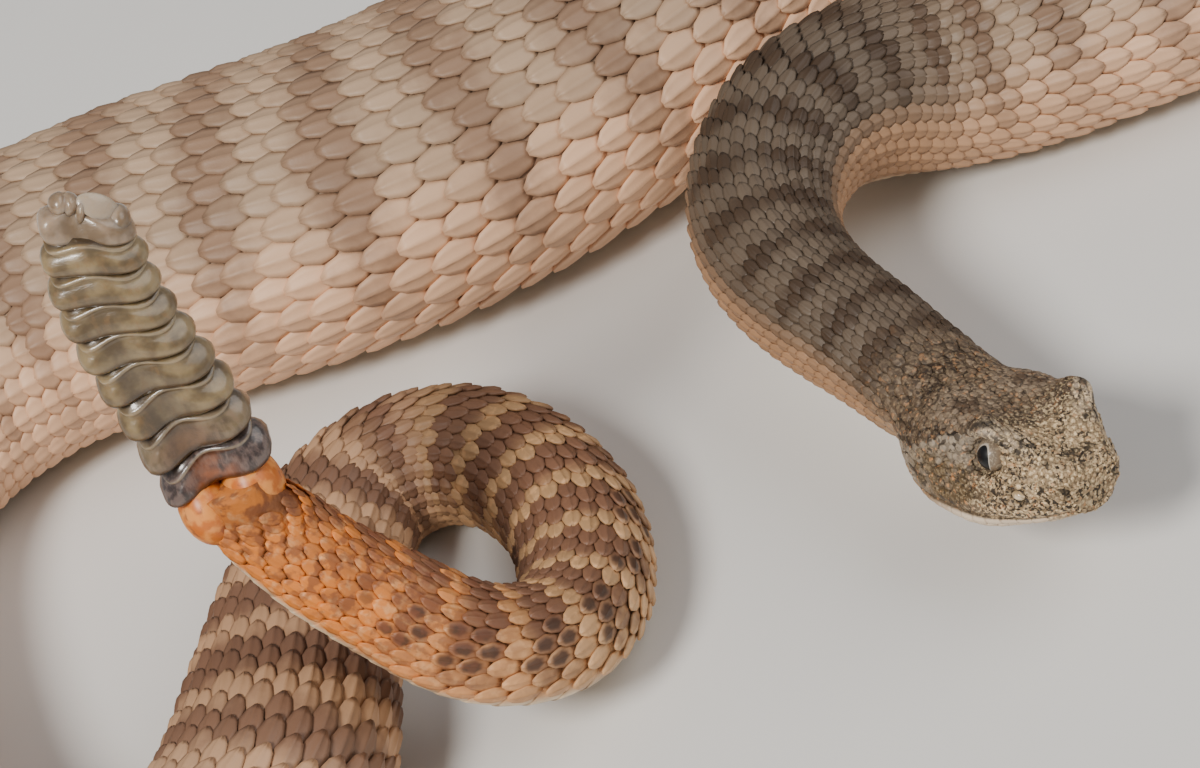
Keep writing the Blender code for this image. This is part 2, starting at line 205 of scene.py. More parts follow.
soft_light("window", (-0.55, -0.55, 0.85), (0.0, 0.0, 0.02), 0.35, 13.5, (1.0, 0.96, 0.90))
soft_light("bounce", (0.9, -0.3, 0.9), (0.0, 0.0, 0.0), 1.2, 8.0, (1.0, 0.98, 0.95))
world = bpy.data.worlds.new("room")
world.use_nodes = True
room = world.node_tree.nodes["Background"]
room.inputs["Color"].default_value = (0.97, 0.97, 1.0, 1.0)
room.inputs["Strength"].default_value = 0.30
bpy.context.scene.world = world


# Skin
# One unbroken hide from the snout to the root of the rattle, dry and thin. It shows between the
# scales and carries the folds of the face and the line of the mouth.

# The body follows one line from the back of the head, through the open coil, to the root of the
# rattle. The head is a loft of half outlines from the snout to the neck. Skin, scales and scutes all
# take their place from these, by the distance behind the neck's start and the turn about the body.
# Sizes are in millimetres, and those of the head in parts of its length.
HEAD_LENGTH = 31.5
# Heading, pitch and roll of the head in degrees.
HEAD_TURN = (-72.4, 4.9, -17.0)
# How high the middle of the body lies, as a share of its half height.
BELLY = 0.86
# The way the rattle points, and the length of tail that bends towards it.
RATTLE_AXIS = np.array((0.030, 0.180, 0.983)) / np.linalg.norm((0.030, 0.180, 0.983))
RATTLE_TURN = 14.0
# Points of the route, with the height of the belly over the table, and the move that brings the middle
# of the animal to the origin.
ORIGIN_SHIFT = (-13.57, -64.74)
ROUTE = [
    (39.2, 5.5, 11.3), (34.4, 19.7, 10.8), (29.8, 34.3, 11.2), (29.5, 47.4, 11.4), (34.6, 58.8, 11.1),
    (43.5, 66.8, 9.2), (54.7, 71.0, 5.8), (75.2, 69.6, 0.0), (97.8, 68.6, 0.0), (120.3, 74.3, 0.0),
    (138.2, 90.2, 0.0), (141.0, 113.7, 0.0), (125.0, 132.1, 0.0), (97.8, 134.4, 0.0),
    (60.2, 122.2, 0.0), (22.5, 105.0, 0.0), (-7.5, 100.2, 0.0), (-38.5, 105.6, 0.0),
    (-69.6, 110.9, 0.0), (-96.8, 102.5, 0.0), (-112.8, 80.8, 0.0), (-117.5, 53.6, 0.0),
    (-115.6, 26.3, 0.0), (-107.2, 0.9, 0.0), (-87.4, -15.0, 0.0), (-67.2, -8.5, 0.0),
    (-55.3, 12.2, 0.0), (-49.3, 27.9, 0.0), (-43.5, 39.6, 0.0), (-35.6, 48.4, 0.0),
    (-25.4, 49.2, 0.0), (-12.4, 31.6, 0.0), (-12.5, 15.1, 0.5), (-18.7, 2.7, 3.9),
    (-27.4, -0.8, 10.7), (-35.3, 2.1, 20.3), (-41.4, 5.3, 30.0), (-45.2, 8.0, 39.4),
    (-47.2, 9.9, 47.6),
]
# Distance along the body, half width and half height.
GIRTH = [
    (0, 8.4, 7.0), (30, 9.4, 8.8), (56, 11.3, 10.6), (80, 14.3, 13.0), (124, 19.0, 15.6),
    (171, 23.1, 17.9), (219, 26.1, 19.6), (286, 27.6, 20.3), (357, 27.8, 20.5), (420, 26.9, 19.9),
    (475, 23.9, 18.4), (530, 20.7, 16.5), (582, 17.9, 14.9), (627, 15.4, 13.4), (657, 12.4, 11.0),
    (680, 10.3, 9.7), (702, 9.3, 8.9), (732, 8.8, 8.6), (756, 8.2, 8.1), (774, 7.2, 7.5),
    (792, 5.2, 6.7),
]
# Distance along the body and its roll in degrees.
TWIST = [
    (0, 17.0), (25, 13.0), (60, 3.0), (95, 0.0), (700, 0.0), (730, 8.0), (760, 28.0), (790, 36.0),
]

# Half outlines of the head: distance behind the snout, crown, brow edge, side, lip, jaw and chin.
HEAD_STATIONS = [
    (0.000, 0.110, (0.070, 0.105), (0.085, 0.075), (0.080, 0.040), (0.055, 0.018), 0.006),
    (0.025, 0.150, (0.105, 0.145), (0.126, 0.105), (0.117, 0.044), (0.079, 0.002), -0.026),
    (0.110, 0.188, (0.145, 0.188), (0.180, 0.130), (0.200, 0.040), (0.160, -0.045), -0.088),
    (0.220, 0.218, (0.200, 0.224), (0.225, 0.155), (0.255, 0.042), (0.218, -0.084), -0.132),
    (0.350, 0.242, (0.255, 0.268), (0.262, 0.175), (0.296, 0.042), (0.280, -0.126), -0.172),
    (0.470, 0.250, (0.245, 0.255), (0.290, 0.170), (0.322, 0.035), (0.308, -0.148), -0.196),
    (0.600, 0.252, (0.235, 0.238), (0.312, 0.158), (0.342, 0.024), (0.322, -0.150), -0.192),
    (0.740, 0.247, (0.216, 0.214), (0.308, 0.138), (0.344, 0.010), (0.318, -0.140), -0.184),
    (0.860, 0.247, (0.178, 0.200), (0.270, 0.126), (0.314, 0.008), (0.280, -0.120), -0.162),
    (0.950, 0.260, (0.172, 0.218), (0.254, 0.134), (0.276, 0.036), (0.230, -0.092), -0.136),
    (1.000, 0.268, (0.165, 0.228), (0.245, 0.145), (0.262, 0.055), (0.205, -0.070), -0.115),
]
MOUTH_LINE = [
    (0.0, -0.004), (0.02, -0.014), (0.06, -0.034), (0.10, -0.050), (0.20, -0.084), (0.30, -0.099),
    (0.45, -0.111), (0.60, -0.120), (0.68, -0.124), (0.76, -0.120), (0.88, -0.050), (1.0, 0.020),
]
EYE = np.array((-0.350, 0.207, 0.164))
NOSTRIL = np.array((-0.024, 0.112, 0.096))
PIT = np.array((-0.188, 0.238, 0.045))


def smooth(knots, values, at):
    """A natural cubic spline through the values at the knots."""
    knots, values, at = (np.asarray(part, float) for part in (knots, values, at))
    step = np.diff(knots)
    size = len(knots)
    system = np.eye(size)
    right = np.zeros(size)
    for row in range(1, size - 1):
        system[row, row - 1 : row + 2] = step[row - 1], 2 * (step[row - 1] + step[row]), step[row]
        slopes = np.diff(values[row - 1 : row + 2]) / step[row - 1 : row + 1]
        right[row] = 6 * (slopes[1] - slopes[0])
    bend = np.linalg.solve(system, right)
    row = np.clip(np.searchsorted(knots, at) - 1, 0, size - 2)
    width = step[row]
    before, after = knots[row + 1] - at, at - knots[row]
    curve = (bend[row] * before**3 + bend[row + 1] * after**3) / (6 * width)
    line = (values[row] / width - bend[row] * width / 6) * before
    return curve + line + (values[row + 1] / width - bend[row + 1] * width / 6) * after


def ease(amount):
    amount = np.clip(amount, 0.0, 1.0)
    return amount * amount * (3 - 2 * amount)


def units(vectors):
    return vectors / np.linalg.norm(vectors, axis=-1, keepdims=True)


def mound(distance, reach):
    """1 in the middle, falling softly to 0 at this reach."""
    return ease(1 - distance / reach)


heading, pitch, roll = (math.radians(angle) for angle in HEAD_TURN)
head_forward = np.array(
    (math.cos(heading) * math.cos(pitch), math.sin(heading) * math.cos(pitch), math.sin(pitch))
)
level_left = units(np.cross((0, 0, 1), head_forward))
level_up = np.cross(head_forward, level_left)
head_left = level_left * math.cos(roll) + level_up * math.sin(roll)
head_up = level_up * math.cos(roll) - level_left * math.sin(roll)
head_axes = np.stack([head_forward, head_left, head_up])

# The line of the body with its frames, every half millimetre.
plan = np.array(ROUTE, float)
plan[:, :2] += ORIGIN_SHIFT
knots = np.concatenate([[0], np.cumsum(np.linalg.norm(np.diff(plan, axis=0), axis=1))])
fine = np.linspace(0, knots[-1], 4000)
line = np.stack([smooth(knots, plan[:, axis], fine) for axis in range(3)], axis=1)
travelled = np.concatenate([[0], np.cumsum(np.linalg.norm(np.diff(line, axis=0), axis=1))])
STEP = 0.5
marks = np.arange(0.0, travelled[-1], STEP)
line = np.stack([np.interp(marks, travelled, line[:, axis]) for axis in range(3)], axis=1)
# Where the neck begins to come down on the table and where the tail leaves it.
NECK_LANDS = 62.0
TAIL_LEAVES = 704.0
raised = 1 - ease((marks - NECK_LANDS) / 46) * ease((TAIL_LEAVES - marks) / 14)
line[:, 2] = np.maximum(line[:, 2], 0) * raised
BODY_LENGTH = marks[-1]


def read_at(table, at):
    """A table with one row for each mark of the line, read at any distance."""
    return np.stack([np.interp(at, marks, table[:, axis]) for axis in range(3)], axis=-1)


NECK_TURN = 14.0
ways = units(read_at(line, marks + 2.0) - read_at(line, marks - 2.0))
blend = ease(marks / NECK_TURN)[:, None]
ways = units((1 - blend) * -head_forward + blend * ways)
blend = ease((marks - BODY_LENGTH + RATTLE_TURN) / RATTLE_TURN)[:, None]
ways = units((1 - blend) * ways + blend * RATTLE_AXIS)
rights = units(np.cross(ways, (0, 0, 1)))
tops = np.cross(rights, ways)
rolls = np.radians(np.interp(marks, *zip(*TWIST)))[:, None]
cosines, sines = np.cos(rolls), np.sin(rolls)
rights, tops = rights * cosines - tops * sines, tops * cosines + rights * sines
girth = np.array(GIRTH, float)
half_widths = smooth(girth[:, 0], girth[:, 1], marks)
half_heights = smooth(girth[:, 0], girth[:, 2], marks)
centres = line + np.outer(BELLY * half_heights, (0, 0, 1))

# The head's sections, on a fine grid: one row for each distance, one column for each turn.
HEAD_TURNS = np.array((0.0, 0.143, 0.286, 0.5, 0.75, 1.0))
HEAD_ROWS = 240
HEAD_COLUMNS = 280
head_steps = np.linspace(0, 1, HEAD_ROWS + 1)
head_turns = np.linspace(0, 1, HEAD_COLUMNS + 1)
stations = np.array([np.hstack([s[0], s[1], *s[2:6], s[6]]) for s in HEAD_STATIONS])
at_step = np.stack([smooth(stations[:, 0], stations[:, c], head_steps) for c in range(1, 11)], axis=1)
head_grid = np.zeros((len(head_steps), len(head_turns), 2))
mouth_heights = np.interp(head_steps, *zip(*MOUTH_LINE))
for row, section in enumerate(at_step):
    half = np.array([(0, section[0]), *section[1:9].reshape(4, 2), (0, section[9])])
    run = np.concatenate([[0], np.cumsum(np.linalg.norm(np.diff(half, axis=0), axis=1))])
    mirrored = np.array([half[1] * (-1, 1), *half, half[4] * (-1, 1)])
    outer = np.concatenate([[-run[1]], run, [2 * run[-1] - run[-2]]])
    tries = np.linspace(run[2], 0.4 * run[4] + 0.6 * run[5], 200)
    mouth = tries[np.argmin(np.abs(smooth(outer, mirrored[:, 1], tries) - mouth_heights[row]))]
    anchors = np.array((0, run[1], run[2], mouth, 0.5 * (mouth + run[5]), run[5]))
    reach = np.interp(head_turns, HEAD_TURNS, anchors)
    head_grid[row] = np.stack([smooth(outer, mirrored[:, axis], reach) for axis in (0, 1)], axis=1)
head_grid[:, 0, 0] = head_grid[:, -1, 0] = 0.0

# The tip of the snout is rounded shut. The skin lies under the tops of the scales, by about a thirtieth
# of the girth.
BLUNT = 0.045
BLUNTNESS = 2.4
HEAD_INSET = 0.972
BODY_INSET = 0.970
OVER_TABLE = 0.25
HEAD_MIDDLE = np.array((0.0, 0.050))
NECK_MIDDLE = 0.085
blunt_row = int(BLUNT * HEAD_ROWS)
lips_meet = np.array((0.0, mouth_heights[blunt_row]))
for row in range(blunt_row):
    left = 1 - head_steps[row] / head_steps[blunt_row]
    size = math.sqrt(max(0.0, 1 - left**BLUNTNESS))
    head_grid[row] = lips_meet + (head_grid[blunt_row] - lips_meet) * size


def section_at(at, turn):
    """The outline of the head as fractions of its length: sideways and up."""
    row = np.clip(np.asarray(at) * HEAD_ROWS, 0, HEAD_ROWS - 0.001)
    column = np.clip(np.abs(turn) * HEAD_COLUMNS, 0, HEAD_COLUMNS - 0.001)
    r, c = row.astype(int), column.astype(int)
    u, v = (row - r)[..., None], (column - c)[..., None]
    near = head_grid[r, c] * (1 - v) + head_grid[r, c + 1] * v
    far = head_grid[r + 1, c] * (1 - v) + head_grid[r + 1, c + 1] * v
    found = HEAD_MIDDLE + (near * (1 - u) + far * u - HEAD_MIDDLE) * HEAD_INSET
    found[..., 0] *= np.sign(turn)
    return found


def sculpted(local):
    """The head's folds and hollows, pressed into points given as fractions of its length."""
    x, y, z = local[..., 0], local[..., 1], local[..., 2]
    side = np.sign(y)
    flat = np.abs(y)
    shifted = local.copy()
    # The shield over each eye, a raised plate with an edge that overhangs.
    brow = mound(np.abs(x + 0.372), 0.150) * mound(np.abs(flat - 0.215), 0.085)
    shifted[..., 2] += 0.030 * brow * ease((z - 0.19) / 0.04)
    shifted[..., 1] += side * 0.020 * mound(np.abs(x + 0.375), 0.125) * mound(np.abs(z - 0.262), 0.045)
    # The hollow between the shields and the ridge from each shield to the snout.
    shifted[..., 2] -= 0.010 * mound(np.abs(x + 0.36), 0.20) * mound(flat, 0.13) * ease((z - 0.15) / 0.05)
    ridge = mound(np.abs(x + 0.20), 0.13) * mound(np.abs(flat - 0.165), 0.045)
    shifted[..., 2] += 0.010 * ridge * ease((z - 0.14) / 0.05)
    # The socket, wider than the eye in front and behind.
    from_eye = np.sqrt(((x - EYE[0]) / 1.12) ** 2 + (z - EYE[2]) ** 2)
    socket = mound(from_eye - 0.040, 0.052) * (flat > 0.16)
    shifted[..., 1] -= side * 0.075 * socket
    cheek = mound(np.abs(from_eye - 0.092), 0.035) * (flat > 0.2)
    shifted[..., 1] += side * 0.008 * cheek * (z < 0.2)
    # The heat pit, with a swelling round it, and the nostril.
    for place, hollow, reach in ((PIT, 0.045, 0.042), (NOSTRIL, 0.030, 0.028)):
        aside = 0.25 * (flat - place[1]) ** 2
        gone = np.sqrt(((x - place[0]) / 1.15) ** 2 + (z - place[2]) ** 2 + aside)
        rim = mound(np.abs(gone - reach * 1.25), reach * 0.7)
        shifted[..., 1] += side * (0.010 * rim - hollow * mound(gone, reach)) * (flat > 0.05)
    return shifted


def head_at(fraction, turn):
    """Points of the head by the distance behind the snout, all as fractions of its length."""
    outline = section_at(fraction, turn)
    return sculpted(np.concatenate([-np.asarray(fraction)[..., None], outline], axis=-1))


def on_head(local):
    """The same points in millimetres, where the head lies."""
    return centres[0] + (local - (-1.0, 0.0, NECK_MIDDLE)) * HEAD_LENGTH @ head_axes


def skin_at(along, turn):
    """Points of the skin. Along is the distance behind the neck's start, negative on the head. Turn
    runs from 0 on the back to 1 or -1 under the belly."""
    along, turn = np.broadcast_arrays(np.asarray(along, float), np.asarray(turn, float))
    at = np.clip(along, 0, BODY_LENGTH)
    centre, right, top = (read_at(table, at) for table in (centres, rights, tops))
    wide, tall = np.interp(at, marks, half_widths), np.interp(at, marks, half_heights)
    angle = turn * math.pi
    drop = np.cos(angle) + BELLY
    across = wide * np.sin(angle)
    height = tall * (0.5 * (drop + np.sqrt(drop * drop + 0.02)) - BELLY)
    neck = section_at(np.ones_like(at), turn)
    neck = (neck - (0.0, NECK_MIDDLE)) * HEAD_LENGTH
    grown = np.stack([wide / GIRTH[0][1], tall / GIRTH[0][2]], axis=-1)
    part = ease(at / 18)
    across = (1 - part) * neck[..., 0] * grown[..., 0] + part * BODY_INSET * across
    height = (1 - part) * neck[..., 1] * grown[..., 1] + part * BODY_INSET * height
    body = centre + across[..., None] * right + height[..., None] * top
    fraction = np.clip(1 + along / HEAD_LENGTH, 0, 1)
    head = on_head(head_at(fraction, turn) + lift_of_mouth(fraction, turn))
    points = np.where((along < 0)[..., None], head, body)
    points[..., 2] = np.maximum(points[..., 2], OVER_TABLE)
    return points


def lift_of_mouth(fraction, turn):
    """The groove between the lips, which runs to the corner of the mouth."""
    gone = np.abs(np.abs(turn) - 0.5)
    groove = mound(gone, 0.020) * ease(fraction / 0.02) * ease((0.72 - fraction) / 0.20)
    swell = mound(np.abs(gone - 0.045), 0.04) * ease((0.80 - fraction) / 0.1)
    push = (0.006 * swell - 0.015 * groove)[..., None]
    outward = np.stack([np.zeros_like(gone), np.sign(turn), np.zeros_like(gone)], axis=-1)
    front = mound(fraction, 0.06)[..., None]
    return push * ((1 - front) * outward + front * np.array((1.0, 0.0, 0.0)))


def frame_at(along, turn):
    """Place, outward direction, lie towards the tail and stretch of points on the skin."""
    step, small_turn = 0.35, 0.012
    place = skin_at(along, turn)
    tailward = skin_at(along + step, turn) - skin_at(along - step, turn)
    round_about = skin_at(along, turn + small_turn) - skin_at(along, turn - small_turn)
    outward = units(np.cross(round_about, tailward))
    stretch = np.linalg.norm(tailward, axis=-1) / (2 * step)
    return place, outward, units(tailward), stretch


def mesh_piece(name, points, faces, finish):
    """A smooth object from points in millimetres."""
    mesh = bpy.data.meshes.new(name)
    mesh.from_pydata((np.asarray(points) * MM).tolist(), [], faces)
    mesh.materials.append(finish)
    mesh.polygons.foreach_set("use_smooth", [True] * len(mesh.polygons))
    mesh.update()
    piece = bpy.data.objects.new(name, mesh)
    bpy.context.scene.collection.objects.link(piece)
    return piece


def store(mesh, name, values):
    """A number or a vector for each point of a mesh."""
    values = np.asarray(values, np.float32)
    kind = "FLOAT" if values.ndim == 1 else "FLOAT_VECTOR"
    attribute = mesh.attributes.new(name, kind, "POINT")
    attribute.data.foreach_set("value" if values.ndim == 1 else "vector", values.ravel())


# The markings: crossbands on the body, paired blotches on the neck, rings of dark spots on the tail and
# speckle on the head. The skin and its scales share them. They go by the distance along the body, the
# turn about it and the count of bands, which each mesh carries.

# Distance along the body, and the length there of a band and its gap, or of a row of scales.
BAND_PITCH = [
    (-40, 7.5), (60, 8.5), (130, 14.0), (220, 18.0), (560, 17.0), (640, 12.0), (690, 9.2), (800, 8.6),
]
SCALE_PITCH = [
    (-32, 1.6), (0, 1.9), (60, 2.6), (130, 3.9), (220, 4.7), (520, 4.7), (600, 4.0), (690, 3.05),
    (800, 2.87),
]
TAIL_START = 700.0
SCALES_TO_A_RING = 3
counted = np.arange(-40.0, BODY_LENGTH + 5, STEP)


def counts(pitches):
    """How many of these have gone by at each counted distance."""
    return np.cumsum(STEP / np.interp(counted, *zip(*pitches)))


scale_counts = counts(SCALE_PITCH)
band_counts = counts(BAND_PITCH)
on_tail = (scale_counts - np.interp(TAIL_START, counted, scale_counts)) / SCALES_TO_A_RING
on_tail = on_tail + np.round(np.interp(TAIL_START, counted, band_counts))
share = ease((counted - TAIL_START + 60) / 60)
band_counts = (1 - share) * band_counts + share * on_tail


def tone(red, green, blue):
    """A colour given as it looks on a screen, out of 255, turned into the light it sends back."""
    shares = (part / 255 for part in (red, green, blue))
    return tuple(s / 12.92 if s < 0.04045 else ((s + 0.055) / 1.055) ** 2.4 for s in shares)


def carry_markings(mesh, along, turn, tint, edge):
    """Puts on a mesh all that the markings go by."""
    store(mesh, "along", along)
    store(mesh, "down", np.abs(turn))
    store(mesh, "bands", np.interp(along, counted, band_counts))
    store(mesh, "tint", tint)
    store(mesh, "edge", edge)


def marked(start, between_scales=0.0):
    """The colour of the animal at a point. Between the scales the skin is duller and darker."""
    along, down, bands, tint, edge = map(start.value, ("along", "down", "bands", "tint", "edge"))
    fraction = along * (1 / HEAD_LENGTH) + 1.0

    def patch(at_fraction, at_turn, reach, width):
        """1 at a place on both sides of the head, fading to 0 at this reach along and width across."""
        away, aside = (fraction - at_fraction) * (1 / reach), (down - at_turn) * (1 / width)
        return 1.0 - (away * away + aside * aside).rise(0.35, 1.1)

    def blots(grain, shift, low, high, detail=2.0):
        """1 on soft blots of about this many millimetres, which are fewer the higher the limits."""
        return start.cloud(grain, detail, shift=shift).rise(low, high)

    mottle = start.cloud(6.0, 3.0)
    blur = start.cloud(2.2, 2.0, shift=7.0)
    unrest = (tint - 0.5) * 0.40 + (mottle - 0.5) * 1.6 + (blur - 0.5) * 0.7
    wave = start.sum_of("COSINE", bands * (2 * math.pi))

    # Mid-body: grey-brown crossbands that fade down a pink-orange flank.
    low = down.rise(0.20, 0.46)
    ground = low.between(tone(174, 147, 121), tone(224, 180, 144))
    band = (wave + unrest - low * 0.7).rise(-0.75, 0.95)
    body = (band * (1.0 - down.rise(0.44, 0.66)) * 0.74).between(ground, tone(122, 92, 72))

    # Neck: grey-brown, with dark blotches in pairs either side of the back, and a tan flank.
    low = down.rise(0.34, 0.54)
    ground = low.between(tone(94, 80, 66), tone(166, 127, 94))
    blotch = (wave + unrest - abs(down - 0.17) * 6.0 + 0.35).rise(-0.45, 0.80)
    neck = blotch.between(ground, tone(64, 48, 34))
    body = along.rise(68.0, 118.0).between(neck, body)

    # Rear: purplish brown bands on orange-tan, darker and fuller towards the tail.
    ground = down.rise(0.15, 0.55).between(tone(180, 140, 106), tone(204, 160, 122))
    band = (wave + unrest * 0.8).rise(-0.85, 0.30)
    rear = (band * (1.0 - down.rise(0.62, 0.74)) * 0.90).between(ground, tone(104, 72, 55))
    body = along.rise(560.0, 640.0).between(body, rear)

    # Tail: soft brown rings, full over the back and broken low on each flank into a few dark spots, on
    # tan that turns to orange at the end, where the brown is no more than smudges.
    step = start.sum_of("FRACT", bands + (mottle - 0.5) * 0.16 + 0.06)
    ring = step.rise(0.0, 0.10) * (1.0 - step.rise(0.60, 0.80))
    ground = down.rise(0.12, 0.62).between(tone(172, 134, 94), tone(198, 158, 116))
    orange = along.rise(738.0, 776.0)
    ground = (orange * (1.0 - down.rise(0.70, 0.9) * 0.5)).between(ground, tone(212, 124, 48))
    ground = (blots(1.3, 61.0, 0.50, 0.70) * 0.45).between(ground, tone(232, 178, 124))
    over = 1.0 - (down + (blur - 0.5) * 0.5 + (tint - 0.5) * 0.10).rise(0.30, 0.76)
    fading = 1.0 - along.rise(752.0, 780.0) * (0.15 + down.rise(0.05, 0.22) * 0.60)
    ground = (ring * over * fading * 0.90).between(ground, tone(108, 72, 54))
    low = (down - 0.42) * (1 / 0.17)
    low = (1.0 - (low * low).rise(0.35, 1.1)) * along.rise(706.0, 722.0) * (1.0 - along.rise(766.0, 780.0))
    spot = ring.rise(0.35, 0.75) * low * (1.0 - edge.rise(0.45, 0.90)) * tint.rise(0.22, 0.42)
    ground = (spot * 0.88).between(ground, tone(60, 38, 27))
    smudge = blots(1.8, 67.0, 0.46, 0.60, 3.0) * along.rise(744.0, 768.0)
    tail = (smudge * (1.0 - down.rise(0.5, 0.8)) * 0.70).between(ground, tone(118, 68, 44))
    body = along.rise(672.0, 700.0).between(body, tail)

    # Belly: cream, freckled at its sides.
    freckles = blots(3.0, 3.0, 0.48, 0.70)
    cream = freckles.between(tone(222, 200, 168), tone(176, 146, 116))
    body = down.rise(0.70, 0.80).between(body, cream)

    # Head: a dark stone-brown crown with blotches, bounded by a black line over each eye, above a paler
    # temple and an olive cheek.
    blotched = start.cloud(4.2, 2.0, shift=29.0)
    crown_edge = (fraction - 0.30) * 0.56 + 0.09
    past_edge = down - crown_edge
    behind = fraction.rise(0.26, 0.36)
    brown = blotched.rise(0.46, 0.60).between(tone(98, 80, 62), tone(64, 48, 33))
    brown = blots(1.5, 31.0, 0.52, 0.66).between(brown, tone(118, 99, 80))
    side = past_edge.rise(0.10, 0.22).between(tone(146, 132, 115), tone(114, 95, 73))
    olive = patch(0.57, 0.405, 0.24, 0.10) * blots(2.0, 5.0, 0.32, 0.54)
    side = (olive * 0.88).between(side, tone(88, 69, 41))
    rear_head = past_edge.rise(-0.012, 0.012).between(brown, side)
    halo = patch(0.63, 0.11, 0.20, 0.12) * 0.60
    rear_head = halo.between(rear_head, tone(138, 120, 101))
    face = behind.between(tone(172, 146, 112), rear_head)
    shield = patch(0.29, 0.125, 0.12, 0.065) * 0.7
    face = shield.between(face, tone(176, 158, 136))

    # The speckle, of black, cream and rust, is finest and thickest on the snout.
    snout = 1.0 - fraction.rise(0.28, 0.50)
    rust = blots(0.85, 11.0, 0.60, 0.66) * (0.35 + down.rise(0.2, 0.35) * 0.35)
    face = rust.between(face, tone(206, 146, 94))
    cream_fleck = blots(0.42, 17.0, 0.52, 0.565) * (snout * 0.78 + 0.14)
    face = cream_fleck.between(face, tone(224, 198, 156))
    coarse = blots(0.9, 37.0, 0.57, 0.62) * (0.8 - snout * 0.4)
    fine = start.cloud(0.46, 3.0, 0.55, shift=23.0).rise(0.515, 0.545) * (snout * 0.86 + 0.20)
    grouped = blots(2.6, 41.0, 0.36, 0.60) * 0.8 + 0.2
    low_snout = patch(0.17, 0.40, 0.18, 0.10)
    fleck = start.sum_of("MAXIMUM", coarse, fine * (grouped + low_snout))
    fleck = start.sum_of("MINIMUM", fleck, 1.0) * (1.0 - down.rise(0.515, 0.56))
    face = (fleck * 0.93).between(face, tone(34, 25, 18))

    # Marks that both sides share: the line along the crown's edge, a streak from the eye forwards, a
    # smudge on each side of the snout and one blotch on each side of the crown. Then painted shade in
    # the rims of the pits and in the nostrils.
    thread = 1.0 - abs(past_edge).rise(0.006, 0.024)
    thread = thread * behind * (1.0 - fraction.rise(0.62, 0.72))
    thread = thread * blots(1.2, 43.0, 0.32, 0.46)
    streak = patch(0.255, 0.150, 0.085, 0.026) + patch(0.105, 0.03, 0.035, 0.06)
    streak = streak + patch(0.100, 0.140, 0.030, 0.022) + patch(0.22, 0.10, 0.03, 0.03)
    streak = streak * blots(0.60, 47.0, 0.42, 0.52)
    blotch = patch(0.60, 0.10, 0.10, 0.055) * blots(1.3, 53.0, 0.36, 0.54)
    face = (blotch * 0.85).between(face, tone(66, 48, 33))
    face = (start.sum_of("MAXIMUM", thread, streak) * 0.88).between(face, tone(36, 28, 20))
    # Painted shade: the rims of the pits and the nostrils are darkened, for the shade in their hollows.
    pit_rim_shade = patch(0.184, 0.376, 0.056, 0.042)
    nostril = patch(0.027, 0.300, 0.014, 0.020) * 0.75
    face = start.sum_of("MAXIMUM", pit_rim_shade * 0.8, nostril).between(face, tone(30, 22, 16))
    under = down.rise(0.505, 0.525) * fraction.rise(0.07, 0.15)
    lip = (fraction + (blur - 0.5) * 0.2).rise(0.50, 0.70).between(tone(212, 192, 168), tone(150, 122, 92))
    face = under.between(face, lip)
    colour = along.rise(-4.0, 9.0).between(face, body)

    shade = tint * 0.20 + 0.90 - between_scales * 0.32
    return start.add("ShaderNodeHueSaturation", None, {"Value": shade, "Saturation": 1.0, "Color": colour})


def closed_tube(points, sides):
    """A skin over rings of this many points, closed at each end about a point in its middle."""
    last = len(points) - sides
    faces = []
    for low in range(0, last, sides):
        for side in range(sides):
            after = (side + 1) % sides
            faces.append((low + side, low + after, low + sides + after, low + sides + side))
    faces += [(len(points), (side + 1) % sides, side) for side in range(sides)]
    faces += [(len(points) + 1, last + side, last + (side + 1) % sides) for side in range(sides)]
    middles = [points[:sides].mean(axis=0), points[last:].mean(axis=0)]
    return np.concatenate([points, middles]), faces


hide, start, feed = finish_of("hide", Roughness=0.7, Specular_IOR_Level=0.35)
wrinkle = start.pebbles(0.55)
bump = start.add("ShaderNodeBump", None, {"Strength": 0.35, "Distance": 0.0002, "Height": wrinkle})
feed(Base_Color=marked(start, 1.0), Normal=bump)

round_rows = (1 - np.cos(np.linspace(0.02, math.pi / 2, 9))) * BLUNT
head_rows = np.concatenate([round_rows, np.arange(BLUNT + 0.008, 0.996, 0.0082)])
body_rows = np.arange(0.0, BODY_LENGTH, 1.25)
skin_rows = np.concatenate([(head_rows - 1) * HEAD_LENGTH, body_rows, [BODY_LENGTH]])
half_turns = np.concatenate([
    np.linspace(0, 0.42, 23, endpoint=False),
    np.linspace(0.42, 0.478, 5, endpoint=False),
    np.linspace(0.478, 0.522, 9),
    np.linspace(0.522, 0.58, 6)[1:],
    np.linspace(0.58, 1.0, 16)[1:],
])
skin_turns = np.concatenate([half_turns, -half_turns[-2:0:-1]])
grid_along, grid_turn = np.meshgrid(skin_rows, skin_turns, indexing="ij")
points, faces = closed_tube(skin_at(grid_along, grid_turn).reshape(-1, 3), len(skin_turns))
skin = mesh_piece("skin", points, faces, hide)
flat_along = np.concatenate([grid_along.ravel(), [-HEAD_LENGTH, BODY_LENGTH]])
flat_turn = np.concatenate([grid_turn.ravel(), [0.3, 0.5]])
carry_markings(skin.data, flat_along, flat_turn, np.full(len(points), 0.5), np.full(len(points), 1.0))
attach(skin, "root")
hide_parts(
    "head", "lower_jaw", "neck_front", "neck_bend", *(f"body_{n}" for n in range(1, 11)),
    "tail_base", "tail_middle", "tail_raised", "tail_end",
)


# Scales of the back
# Overlapping plates of dry keratin, each with a keel down its middle, in twenty-three slanting rows
# that thin out to seventeen on the tail. Each is rooted in the skin and its tip lies over the next.
def sheet(rows, columns):
    """The faces of a grid of points and the points round its border."""
    faces = []
    for row in range(rows - 1):
        for at in range(row * columns, row * columns + columns - 1):
            faces.append((at, at + columns, at + columns + 1, at + 1))
    border = list(range(columns))
    border += [row * columns + columns - 1 for row in range(1, rows)]
    border += [(rows - 1) * columns + column for column in range(columns - 2, -1, -1)]
    border += [row * columns for row in range(rows - 2, 0, -1)]
    return faces, border


